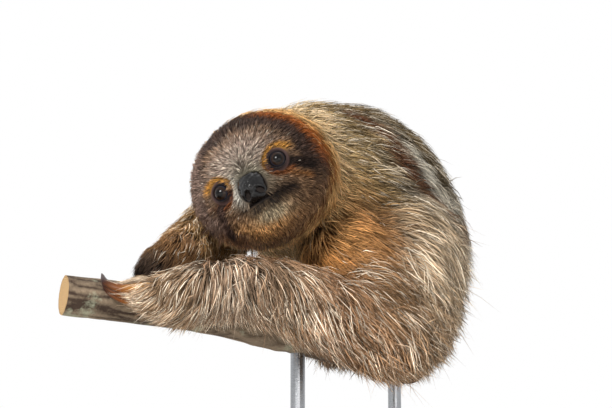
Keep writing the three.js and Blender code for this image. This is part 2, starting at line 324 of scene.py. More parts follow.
class Sketch:
    """Places nodes in a material, a world or a group and links them."""

    def __init__(self, tree: bpy.types.NodeTree) -> None:
        """Starts on an empty tree."""
        self.tree = tree
        tree.nodes.clear()

    def add(self, kind: str, *, props: dict | None = None, **inputs: object) -> bpy.types.Node:
        """A node with properties and inputs set.

        Args:
            kind: the node's type.
            props: its properties.
            **inputs: sockets by name, with _ for a space, or by number as i0, i1. A value is a socket
                to link from, or what the socket holds.

        Returns:
            The node.
        """
        node = self.tree.nodes.new(kind)
        for key, value in (props or {}).items():
            setattr(node, key, value)
        for key, value in inputs.items():
            number = key[1:].isdigit() and key[0] == "i"
            socket = node.inputs[int(key[1:]) if number else key.replace("_", " ")]
            if isinstance(value, Socket):
                self.tree.links.new(value, socket)
            else:
                socket.default_value = value
        return node

    def _sum(self, way: str, a: object, b: object = 0.0) -> Socket:
        """What a Math node makes of one number or two."""
        return self.add("ShaderNodeMath", props={"operation": way}, i0=a, i1=b).outputs[0]

    def plus(self, a: object, b: object) -> Socket:
        """Number a and number b together."""
        return self._sum("ADD", a, b)

    def minus(self, a: object, b: object) -> Socket:
        """Number a less number b."""
        return self._sum("SUBTRACT", a, b)

    def times(self, a: object, b: object) -> Socket:
        """Number a times number b."""
        return self._sum("MULTIPLY", a, b)

    def sine(self, a: object) -> Socket:
        """The sine of an angle in radians."""
        return self._sum("SINE", a)

    def swing(self, x: object, size: object) -> Socket:
        """How far a number is from one half, times a size."""
        return self.times(self.minus(x, 0.5), size)

    def grey(self, x: object) -> Socket:
        """The grey whose three parts are a number."""
        return self.add("ShaderNodeCombineColor", Red=x, Green=x, Blue=x).outputs[0]

    def drawn(self, x: object, y: object, z: object = 0.0) -> Socket:
        """Coordinates made of three numbers."""
        return self.add("ShaderNodeCombineXYZ", X=x, Y=y, Z=z).outputs[0]

    def seen(self) -> Socket:
        """1 for what shows straight, in a mirror or through glass, and 0 for light that falls."""
        path = self.add("ShaderNodeLightPath").outputs
        straight = self._sum("MAXIMUM", path["Is Camera Ray"], path["Is Glossy Ray"])
        return self._sum("MAXIMUM", straight, path["Is Transmission Ray"])

    def mix(self, share: object, a: object, b: object, blend: Blend = Blend.MIX) -> Socket:
        """Colour a blended towards colour b by a share."""
        props = {"data_type": "RGBA", "blend_type": blend.value}
        return self.add("ShaderNodeMix", props=props, i0=share, i6=a, i7=b).outputs[2]

    def tinted(self, a: object, b: object) -> Socket:
        """Colour a times colour b."""
        return self.mix(1.0, a, b, Blend.MULTIPLY)

    def noise(self, place: object, scale: object, detail: float = 4.0, rough: float = 0.55) -> Socket:
        """Cloud noise, as a number from 0 to 1."""
        made = self.add("ShaderNodeTexNoise", Vector=place, Scale=scale, Detail=detail, Roughness=rough)
        return made.outputs["Fac"]

    def ramp(self, x: object, stops: Sequence[tuple[float, str]]) -> Socket:
        """Colours by a number, with an even passage between stops.

        Args:
            x: the number.
            stops: the number and the colour at each stop, in order.

        Returns:
            The colour.
        """
        node = self.add("ShaderNodeValToRGB", Fac=x)
        ramp = node.color_ramp
        while len(ramp.elements) < len(stops):
            ramp.elements.new(0.5)
        for element, (at, code) in zip(ramp.elements, stops):
            element.position, element.color = at, rgba(code)
        return node.outputs["Color"]

    def fit(self, x: object, low: float, high: float, out_low: float = 0.0, out_high: float = 1.0) -> Socket:
        """A number carried from one range to another and held there."""
        return self.add("ShaderNodeMapRange", i0=x, i1=low, i2=high, i3=out_low, i4=out_high).outputs[0]

    def attribute(self, name: str, what: str = "Fac") -> Socket:
        """A named attribute of the mesh, as a number or a Color."""
        return self.add("ShaderNodeAttribute", props={"attribute_name": name}).outputs[what]

    def place(self) -> Socket:
        """Object coordinates, in metres."""
        return self.add("ShaderNodeTexCoord").outputs["Object"]

    def stretched(self, place: object, scale: Place) -> Socket:
        """Coordinates scaled by a factor on each axis, to draw a pattern out."""
        return self.add("ShaderNodeMapping", Vector=place, Scale=scale).outputs[0]

    def bumped(self, height: object, depth: float, strength: float = 1.0) -> Socket:
        """A normal from a height, where 1 stands depth metres proud."""
        return self.add("ShaderNodeBump", Strength=strength, Distance=depth, Height=height).outputs[0]

    def principled(self, **inputs: object) -> None:
        """Makes a Principled BSDF the material's surface."""
        shader = self.add("ShaderNodeBsdfPrincipled", **inputs)
        self.add("ShaderNodeOutputMaterial", Surface=shader.outputs[0])


def group(name: str, inputs: dict[str, tuple[str, object]], outputs: dict[str, str]) -> tuple:
    """An empty node group with its sockets.

    Args:
        name: the group's name.
        inputs: socket type and default by name.
        outputs: socket type by name.

    Returns:
        A Sketch on the group, its input node's sockets and its output node.
    """
    tree = bpy.data.node_groups.new(name, "ShaderNodeTree")
    for label, (kind, default) in inputs.items():
        socket = tree.interface.new_socket(label, in_out="INPUT", socket_type=kind)
        socket.default_value = default
    for label, kind in outputs.items():
        tree.interface.new_socket(label, in_out="OUTPUT", socket_type=kind)
    sketch = Sketch(tree)
    return sketch, sketch.add("NodeGroupInput").outputs, sketch.add("NodeGroupOutput")


NUMBER, COLOUR, VECTOR = "NodeSocketFloat", "NodeSocketColor", "NodeSocketVector"


class Effects:
    """The node groups that more than one finish uses, each built once."""

    def __init__(self) -> None:
        """Builds the groups."""
        self.mottle = self._mottle()
        self.relief = self._relief()

    @staticmethod
    def _mottle() -> bpy.types.NodeTree:
        """Breaks a colour up: darker and lighter clouds of two sizes."""
        inputs = {
            "Color": (COLOUR, (0.5, 0.5, 0.5, 1)),
            "Vector": (VECTOR, (0, 0, 0)),
            "Coarse": (NUMBER, 40.0),
            "Fine": (NUMBER, 300.0),
            "Strength": (NUMBER, 0.3),
        }
        s, given, out = group("Mottle", inputs, {"Color": COLOUR, "Mask": NUMBER})
        coarse = s.noise(given["Vector"], given["Coarse"], 3.0, 0.5)
        fine = s.noise(given["Vector"], given["Fine"], 2.0, 0.5)
        total = s.plus(s.times(coarse, 0.6), s.times(fine, 0.4))
        factor = s.plus(s.times(s.swing(total, given["Strength"]), 4.0), 1.0)
        s.tree.links.new(s.tinted(given["Color"], s.grey(factor)), out.inputs["Color"])
        s.tree.links.new(total, out.inputs["Mask"])
        return s.tree

    @staticmethod
    def _relief() -> bpy.types.NodeTree:
        """Height of small pebbles with creases between them, over fine grain."""
        inputs = {"Vector": (VECTOR, (0, 0, 0)), "Pebbles": (NUMBER, 600.0), "Grain": (NUMBER, 2000.0)}
        s, given, out = group("Relief", inputs, {"Height": NUMBER})
        cells = s.add(
            "ShaderNodeTexVoronoi",
            props={"feature": "SMOOTH_F1"},
            Vector=given["Vector"],
            Scale=given["Pebbles"],
            Smoothness=0.6,
        )
        grain = s.noise(given["Vector"], given["Grain"], 3.0, 0.5)
        height = s.plus(s.minus(1.0, cells.outputs["Distance"]), s.times(grain, 0.3))
        s.tree.links.new(height, out.inputs["Height"])
        return s.tree

    def mottled(self, s: Sketch, place: Socket, colour: object, sizes: tuple, strength: float = 0.3) -> dict:
        """A colour broken up by coarse and fine clouds, so many to a metre, and their mask."""
        given = {"Color": colour, "Vector": place, "Coarse": sizes[0], "Fine": sizes[1], "Strength": strength}
        return s.add("ShaderNodeGroup", props={"node_tree": self.mottle}, **given).outputs

    def pebbled(self, s: Sketch, place: Socket, pebbles: float, grain: float) -> Socket:
        """The height of pebbled skin, with so many pebbles and so much grain to a metre."""
        props = {"node_tree": self.relief}
        return s.add("ShaderNodeGroup", props=props, Vector=place, Pebbles=pebbles, Grain=grain).outputs[0]


def material(name: str) -> tuple[Material, Sketch]:
    """A new material and a Sketch on its empty tree.

    Args:
        name: the material's name.

    Returns:
        The two.
    """
    made = bpy.data.materials.new(name)
    made.use_nodes = True
    return made, Sketch(made.node_tree)


# ---------- Finishes ----------


@dataclass(frozen=True)
class HairFinish:
    """Tufts that are dark at the root, as painted shade deep in the coat, and light at the tip, with
    lighter and darker strands across them.
    """

    # darkness at the root: painted shade deep in the coat
    root_shade: float = 0.25
    tip_light: float = 1.42
    strands: float = 3.2
    contrast: float = 0.42
    darkest: float = 0.58
    lightest: float = 1.42
    roughness: float = 0.7

    def build(self) -> Material:
        """Marking times painted shade that lifts from root to tip, times strands drawn out along the tuft."""
        made, s = material("coat_strands")
        along, tuft = s.attribute("along"), s.attribute("tuft")
        across = s.plus(s.times(s.attribute("across"), self.strands), s.times(tuft, 97.0))
        strand = s.noise(s.drawn(across, s.times(along, 1.6), s.times(tuft, 31.0)), 1.0, 2.0)
        shade = s.fit(along, 0.0, 0.7, self.root_shade, self.tip_light)
        varied = s.times(shade, s.fit(strand, 0.3, 0.7, 1.0 - self.contrast, 1.0 + self.contrast))
        own = s.times(varied, s.fit(tuft, 0.0, 1.0, self.darkest, self.lightest))
        colour = s.tinted(s.attribute("marking", "Color"), s.grey(own))
        rough = s.fit(strand, 0.3, 0.7, self.roughness + 0.1, self.roughness - 0.1)
        s.principled(Base_Color=colour, Roughness=rough, Specular_IOR_Level=0.12)
        return made


@dataclass(frozen=True)
class SkinFinish:
    """Skin in the coat's own markings, darker as its own colour and as painted shade under the coat,
    and bare and moist round eyes, nose and mouth.
    """

    effects: Effects
    darker: float = 0.36

    def build(self) -> Material:
        """Marking, mottled, with fine pebbles as bump and gloss where the bare attribute says."""
        made, s = material("skin_marked")
        place, bare = s.place(), s.attribute("bare")
        # the skin under the coat darkened, partly its own colour and partly painted shade of the coat
        under = s.tinted(s.attribute("marking", "Color"), (self.darker,) * 3 + (1,))
        base = s.mix(bare, under, s.attribute("hide", "Color"))
        s.principled(
            Base_Color=self.effects.mottled(s, place, base, (160.0, 900.0))["Color"],
            Roughness=s.fit(bare, 0.0, 1.0, 0.85, 0.5),
            Normal=s.bumped(self.effects.pebbled(s, place, 1300.0, 3200.0), 0.00025, 0.8),
            Specular_IOR_Level=0.1,
        )
        return made


@dataclass(frozen=True)
class NoseFinish:
    """Moist black skin of small round pebbles, flesh-red inside the nostrils."""

    effects: Effects
    colour: str = "080708"
    inner: str = "34130f"

    def build(self) -> Material:
        """Near black, mottled, pebbled and glossy."""
        made, s = material("nose_leather")
        place = s.place()
        clouds = self.effects.mottled(s, place, rgba(self.colour), (150.0, 700.0), 0.5)
        s.principled(
            Base_Color=s.mix(s.attribute("inner"), clouds["Color"], rgba(self.inner)),
            Roughness=s.fit(clouds["Mask"], 0.35, 0.65, 0.12, 0.22),
            Normal=s.bumped(self.effects.pebbled(s, place, 560.0, 1900.0), 0.00004),
            Specular_IOR_Level=0.3,
        )
        return made


@dataclass(frozen=True)
class EyeFinish:
    """A dark wet eye: pupil, near-black brown iris with fine rays, and a cloudy blue rim."""

    pupil: str = "040303"
    iris: str = "20140d"
    rim: str = "23252f"
    white: str = "120c0b"

    def build(self) -> Material:
        """Colours by the share of the way from the middle of the gaze to the ball's side."""
        made, s = material("eye_wet")
        ray = s.noise(s.place(), 1800.0, 3.0)
        gaze = s.plus(s.attribute("gaze"), s.swing(ray, 0.05))
        codes = (self.pupil, self.pupil, self.iris, self.iris, self.rim, self.white)
        stops = list(zip((0.0, 0.25, 0.32, 0.47, 0.57, 0.64), codes))
        rough = s.fit(ray, 0.3, 0.7, 0.07, 0.11)
        s.principled(Base_Color=s.ramp(gaze, stops), Roughness=rough, Specular_IOR_Level=0.18)
        return made


@dataclass(frozen=True)
class HornFinish:
    """Claw horn: pale amber at the root, brown to near black at the tip, with fine length lines."""

    root: str = "b07c38"
    middle: str = "6a3c17"
    tip: str = "2a1510"

    def build(self) -> Material:
        """Colours by the share of the claw's length, with streaks that follow it."""
        made, s = material("claw_amber_horn")
        along = s.attribute("along")
        streak = s.noise(s.drawn(s.times(s.attribute("round"), 26.0), s.times(along, 2.0)), 1.0, 3.0)
        shifted = s.plus(s.plus(along, s.swing(streak, 0.3)), s.times(s.attribute("inside"), 0.28))
        s.principled(
            Base_Color=s.ramp(shifted, [(0.1, self.root), (0.38, self.middle), (0.7, self.tip)]),
            Roughness=s.fit(streak, 0.3, 0.7, 0.3, 0.48),
            Normal=s.bumped(streak, 0.0003, 0.5),
            Specular_IOR_Level=0.14,
        )
        return made


@dataclass(frozen=True)
class BarkFinish:
    """Grey-brown bark with furrows along the branch and pale lichen."""

    effects: Effects
    ridge: str = "8b7a66"
    furrow: str = "3b2e25"
    lichen: str = "a7ab93"

    def build(self) -> Material:
        """Furrow colour to ridge colour by the height of the bark, with lichen in patches."""
        made, s = material("perch_bark")
        place = s.place()
        grain = s.noise(place, 420.0, 6.0, 0.65)
        level = s.plus(s.attribute("height"), s.swing(grain, 0.8))
        base = s.ramp(level, [(0.15, self.furrow), (0.75, self.ridge)])
        patches = s.fit(s.noise(place, 55.0, 5.0, 0.7), 0.56, 0.66)
        aged = s.mix(s.times(patches, 0.55), base, rgba(self.lichen))
        s.principled(
            Base_Color=self.effects.mottled(s, place, aged, (60.0, 500.0), 0.25)["Color"],
            Roughness=0.88,
            Normal=s.bumped(grain, 0.0012, 0.9),
            Specular_IOR_Level=0.25,
        )
        return made


@dataclass(frozen=True)
class CutWoodFinish:
    """The sawn end of the branch: pale and dark rings round the pith."""

    pale: str = "c7a87c"
    ring: str = "94703f"

    def build(self) -> Material:
        """Rings by the share of the radius, wavy with noise."""
        made, s = material("perch_sawn_end")
        ring_at = s.plus(s.attribute("height"), s.times(s.noise(s.place(), 120.0), 0.12))
        wave = s.sine(s.times(ring_at, 75.0))
        colour = s.mix(s.fit(wave, -1.0, 1.0), rgba(self.pale), rgba(self.ring))
        s.principled(Base_Color=colour, Roughness=0.8, Normal=s.bumped(wave, 0.0002, 0.6))
        return made


@dataclass(frozen=True)
class BaseWoodFinish:
    """Dark stained wood with long grain under a satin varnish."""

    effects: Effects
    light: str = "5a3d2b"
    dark: str = "2a1a11"

    def build(self) -> Material:
        """Fine grain and a broad figure, both drawn out along the plate."""
        made, s = material("stand_base_stained_wood")
        place = s.place()
        grain = s.noise(s.stretched(place, (1.0, 0.07, 1.0)), 160.0, 6.0, 0.6)
        figure = s.noise(s.stretched(place, (1.0, 0.2, 1.0)), 22.0, 3.0)
        level = s.plus(s.times(grain, 0.6), s.times(figure, 0.4))
        colour = s.ramp(level, [(0.38, self.dark), (0.62, self.light)])
        s.principled(
            Base_Color=self.effects.mottled(s, place, colour, (30.0, 200.0), 0.12)["Color"],
            Roughness=s.fit(grain, 0.3, 0.7, 0.34, 0.5),
            Normal=s.bumped(grain, 0.0003, 0.5),
            Coat_Weight=0.2,
        )
        return made


@dataclass(frozen=True)
class SteelFinish:
    """Brushed steel rod."""

    colour: str = "a3a5a8"
    darker: str = "8d8f93"

    def build(self) -> Material:
        """Metal with fine lines round the rod and a few smudges."""
        made, s = material("stand_rod_brushed_steel")
        place = s.place()
        lines = s.noise(s.stretched(place, (60.0, 60.0, 3000.0)), 1.0, 4.0)
        smudge = s.noise(place, 35.0, 3.0)
        rough = s.plus(s.fit(lines, 0.3, 0.7, 0.22, 0.34), s.fit(smudge, 0.5, 0.8, 0.0, 0.15))
        colour = s.mix(s.fit(lines, 0.3, 0.7), rgba(self.colour), rgba(self.darker))
        s.principled(Base_Color=colour, Metallic=1.0, Roughness=rough, Normal=s.bumped(lines, 0.00008, 0.4))
        return made


# ---------- The body's plan ----------


@dataclass(frozen=True)
class Pelt:
    """How the coat of one part grows. A tuple's values are spread evenly along the part.

    length is a tuft's, depth is the coat's, width a tuft's at its widest, all in mm. dense is tufts
    to a square mm. along, down and left say which way the hair lies. tone is its colour, with painted
    light and shade in it on the trunk and the arms, and pale the share of cream tufts.
    """

    length: tuple[float, ...]
    depth: tuple[float, ...]
    width: tuple[float, ...]
    dense: tuple[float, ...]
    along: tuple[float, ...]
    down: tuple[float, ...]
    tone: tuple[str, ...]
    pale: tuple[float, ...]
    left: tuple[float, ...] = (0.0, 0.0)

    def read(self, what: str, t: Array) -> Array:
        """One of the values at places along the part."""
        return evenly(getattr(self, what), t)


@dataclass(frozen=True)
class Tube:
    """A part of the body along a smooth line of stations.

    Each station is x, y, z, half width, half height of the coat's outline. spans are the first and
    last stations of its lengths, which are rounded off at both ends and grow together in the skin.
    """

    name: str
    stations: tuple[tuple[float, ...], ...]
    spans: tuple[tuple[int, int], ...]
    pelt: Pelt
    egg: float = 0.0
    rise: float = 0.28

    def frames(self, t: Array) -> tuple[Array, ...]:
        """Middles, ways along, ways up, ways aside and half sizes at shares of the stations.

        Args:
            t: shares of the stations, 0 to 1.

        Returns:
            The five, each with a row for each share.
        """
        rows = np.array([(*s, s[3])[:5] for s in self.stations], float)
        along = unit(catmull(rows[:, :3], t, slope=True))
        up = unit(UP - along * dot(along, UP[None]))
        return catmull(rows[:, :3], t), along, up, np.cross(along, up), catmull(rows[:, 3:], t)

    def skin(
        self, first: int, last: int, sides: int = 40, step: float = 0.2, caps: int = 7
    ) -> tuple[Array, Array]:
        """The closed surface under the coat, from one station to another.

        A ring is an oval of the outline's size less the coat's depth, narrower above by the egg. A
        round end is rings that shrink by the cosine and move on by the sine of an angle.

        Args:
            first: the first station's number.
            last: the last station's number.
            sides: the number of points round a ring.
            step: how far apart the rings are, in stations.
            caps: the number of rings in a round end.

        Returns:
            The points and the triangles.
        """
        count = len(self.stations) - 1
        t = np.linspace(first, last, int((last - first) / step) + 1) / count
        turn = (np.pi / 2) * np.arange(1, caps + 1) / (caps + 0.5)
        middle, along, up, side, size = self.frames(t)
        depth = evenly(self.pelt.depth, t)[:, None]
        middle = middle + up * depth * self.rise
        size = np.maximum(size - depth, 2.5)
        rows = np.concatenate([np.zeros(caps, int), np.arange(len(t)), np.full(caps, len(t) - 1)])
        shrink = np.concatenate([np.cos(turn[::-1]), np.ones(len(t)), np.cos(turn)])
        shift = np.concatenate([-np.sin(turn[::-1]), np.zeros(len(t)), np.sin(turn)]) * size[rows, 0]
        angle = circle(sides)
        cos, sin = np.cos(angle)[None, :, None], np.sin(angle)[None, :, None]
        wide, tall = (size[rows] * shrink[:, None]).T[:, :, None, None]
        ring = side[rows][:, None] * cos * wide * (1 - self.egg * sin) + up[rows][:, None] * sin * tall
        ring = ring + (middle[rows] + along[rows] * shift[:, None])[:, None]
        poles = [middle[0] - along[0] * size[0, 0], middle[-1] + along[-1] * size[-1, 0]]
        return np.vstack([ring.reshape(-1, 3), poles]), tube_faces(len(rows), sides)

    def nearness(self, points: Array) -> tuple[Array, Array]:
        """How near points are to the line, as a share of the skin's radius, and where along it.

        Args:
            points: places in mm.

        Returns:
            The two, one number each for each point.
        """
        t = np.linspace(0.0, 1.0, 64)
        middle, _, _, _, size = self.frames(t)
        radius = np.maximum(size.mean(axis=1) - evenly(self.pelt.depth, t), 2.5)
        squares = (points**2).sum(1)[:, None] + (middle**2).sum(1)[None] - 2.0 * points @ middle.T
        share = np.sqrt(np.maximum(squares, 0.0)) / radius
        best = share.argmin(axis=1)
        return share[np.arange(len(points)), best], t[best]

    def turn_of(self, points: Array, t: Array) -> Array:
        """The angles in radians of points round the line, from the way up, at places along it."""
        middle, _, up, side, _ = self.frames(t)
        return np.arctan2(dot(points - middle, side)[:, 0], dot(points - middle, up)[:, 0])

    def lie(self, t: Array) -> Array:
        """The ways that the hair lies at places along the line, before it is laid on the skin."""
        along, down, left = (self.pelt.read(what, t)[:, None] for what in ("along", "down", "left"))
        return self.frames(t)[1] * along - UP * down + np.array([1.0, 0.0, 0.0]) * left


TORSO = Tube(
    "trunk",
    (
        (-64, -116, 331, 44, 46), (-46, -84, 333, 53, 60), (-22, -44, 332, 68, 72),
        (-5, 0, 330, 76, 80), (10, 50, 324, 74, 74), (23, 100, 318, 70, 66), (32, 150, 309, 58, 58),
        (36, 182, 303, 45, 46),
    ),
    ((0, 7),),
    Pelt(
        length=(20, 24, 27, 31, 36, 38, 38, 36),
        depth=(9, 10, 11, 12, 12, 12, 11, 10),
        width=(1.05, 1.1, 1.2, 1.3, 1.5, 1.6, 1.6, 1.6),
        dense=(0.8, 0.8, 0.75, 0.62, 0.42, 0.32, 0.28, 0.28),
        along=(0.9, 0.85, 0.8, 0.8, 0.8, 0.8, 0.9, 1.0),
        down=(0.2, 0.15, 0.2, 0.3, 0.45, 0.5, 0.5, 0.4),
        left=(0.45, 0.6, 0.55, 0.35, 0.15, 0.0, 0.0, 0.0),
        # tones darkened over the trunk, partly its own colour and partly painted shade
        tone=("f0d09c", "b49a6e", "6c5a3e", "62553f", "625644", "675b48", "6a5e4b", "6a5e4a"),
        pale=(0.42, 0.36, 0.17, 0.15, 0.22, 0.25, 0.26, 0.25),
    ),
    egg=0.04,
)
TAIL = Tube(
    "tail",
    ((37, 196, 300, 24), (42, 222, 294, 17), (46, 236, 290, 12)),
    ((0, 2),),
    Pelt((24, 20), (8, 6), (1.4, 1.2), (0.4, 0.5), (1, 1), (0.3, 0.3), ("82745f", "857660"), (0.3, 0.3)),
)
ARM_LEFT = Tube(
    "arm_left",
    (
        (26, -20, 314, 42), (27, -75, 280, 43), (17, -113, 226, 34), (-14, -130, 232, 30),
        (-44, -145, 243, 26), (-67, -157, 249, 23), (-86, -165, 250, 21.5), (-105, -171, 246, 21),
        (-120, -174, 241, 20), (-134, -178, 240, 15), (-146, -181, 243, 11),
    ),
    ((0, 2), (2, 7), (7, 10)),
    Pelt(
        length=(38, 38, 34, 32, 28, 24, 21, 19, 17),
        depth=(11, 11, 10, 9, 8, 7.5, 6.5, 5, 3),
        width=(1.3, 1.3, 1.2, 1.15, 1.1, 1.0, 0.95, 0.85, 0.75),
        dense=(0.42, 0.5, 0.62, 0.7, 0.76, 0.8, 0.9, 1.1, 1.5),
        along=(0.4, 0.2, -0.5, -0.55, -0.4, -0.1, 0.35, 0.8, 1.0),
        down=(0.3, 0.45, 0.75, 0.85, 0.9, 0.9, 0.7, 0.4, 0.2),
        left=(0.9, 0.85, 0.3, 0.15, 0.05, 0.0, 0.0, 0.0, 0.0),
        # tones lighter towards the hand, partly painted light where the near hand is more brightly lit
        tone=("b09b82", "b8a388", "ad8866", "9c785a", "aa8c70", "ab917a", "967b60", "9c8064", "cbb196"),
        pale=(0.36, 0.42, 0.32, 0.4, 0.5, 0.5, 0.36, 0.45, 0.55),
    ),
)
FOLD_LEFT = Tube(
    "fold_left",
    ((-19, -90, 296, 29), (-8, -102, 272, 31), (4, -114, 248, 31)),
    ((0, 2),),
    Pelt(
        (30, 34), (4, 6), (1.2, 1.2), (0.8, 0.9), (0.1, 0.0), (0.6, 0.6), ("9c6c3e", "927456"), (0.04, 0.3),
        (0.8, 0.9),
    ),
)
ARM_RIGHT = Tube(
    "arm_right",
    (
        (-52, -52, 346, 34), (-80, -22, 340, 32), (-104, 0, 320, 27), (-112, -58, 303, 23),
        (-122, -108, 284, 19), (-130, -136, 273, 16), (-137, -146, 267, 14), (-143, -151, 263, 11),
        (-147, -154, 260, 7),
    ),
    ((0, 2), (2, 5), (5, 8)),
    Pelt(
        length=(34, 32, 28, 26, 24, 18, 14, 10, 7),
        depth=(10, 9, 8, 7, 6, 5, 4.5, 4, 3),
        width=(1.4, 1.3, 1.2, 1.1, 1.0, 0.9, 0.85, 0.8, 0.7),
        dense=(0.35, 0.4, 0.5, 0.65, 0.85, 1.0, 1.2, 1.3, 1.5),
        along=(0.7, 0.6, 0.7, 0.9, 0.9, 0.9, 0.9, 0.9, 1.0),
        down=(0.5, 0.5, 0.5, 0.45, 0.45, 0.4, 0.35, 0.3, 0.3),
        # the far hand's dark tones and few cream tufts are painted shade behind the left arm
        tone=("7d6549", "7e6549", "7f6349", "87673f", "8a6743", "78593c", "483a30", "372c25", "2a211c"),
        pale=(0.3, 0.3, 0.26, 0.2, 0.16, 0.1, 0.03, 0.0, 0.0),
    ),
)
LEG_PELT = Pelt(
    length=(38, 36, 32, 28, 22, 16, 11),
    depth=(11, 10, 9, 8, 6, 4.5, 3.5),
    width=(1.6, 1.6, 1.5, 1.3, 1.1, 0.9, 0.8),
    dense=(0.25, 0.25, 0.28, 0.34, 0.5, 0.75, 1.0),
    along=(0.7, 0.7, 0.5, 0.7, 0.9, 0.9, 1.0),
    down=(0.5, 0.6, 0.5, 0.4, 0.3, 0.3, 0.3),
    tone=("857763", "87745c", "8a705a", "8a705a", "8b6f55", "8c7359", "7c6047"),
    pale=(0.34, 0.34, 0.34, 0.32, 0.28, 0.24, 0.2),
)
LEG_LEFT = Tube(
    "leg_left",
    (
        (36, 118, 294, 44), (39, 76, 277, 36), (38, 34, 263, 30), (42, 52, 253, 25), (46, 76, 248, 19),
        (49, 93, 246, 15.5), (50, 107, 242, 11.5),
    ),
    ((0, 2), (2, 4), (4, 6)),
    LEG_PELT,
)
LEG_RIGHT = Tube(
    "leg_right",
    (
        (6, 126, 290, 48), (-12, 90, 272, 42), (-22, 50, 262, 34), (-12, 80, 253, 27),
        (5, 112, 249, 19), (15, 136, 249, 15.5), (18, 151, 245, 11.5),
    ),
    ((0, 2), (2, 4), (4, 6)),
    LEG_PELT,
)
TUBES = (TORSO, TAIL, ARM_LEFT, ARM_RIGHT, LEG_LEFT, LEG_RIGHT, FOLD_LEFT)


@dataclass(frozen=True)
class Form:
    """A swelling or hollow of the face: its middle, its spreads, and how far it pushes out."""

    x: float
    z: float
    spread_x: float
    spread_z: float
    push: float


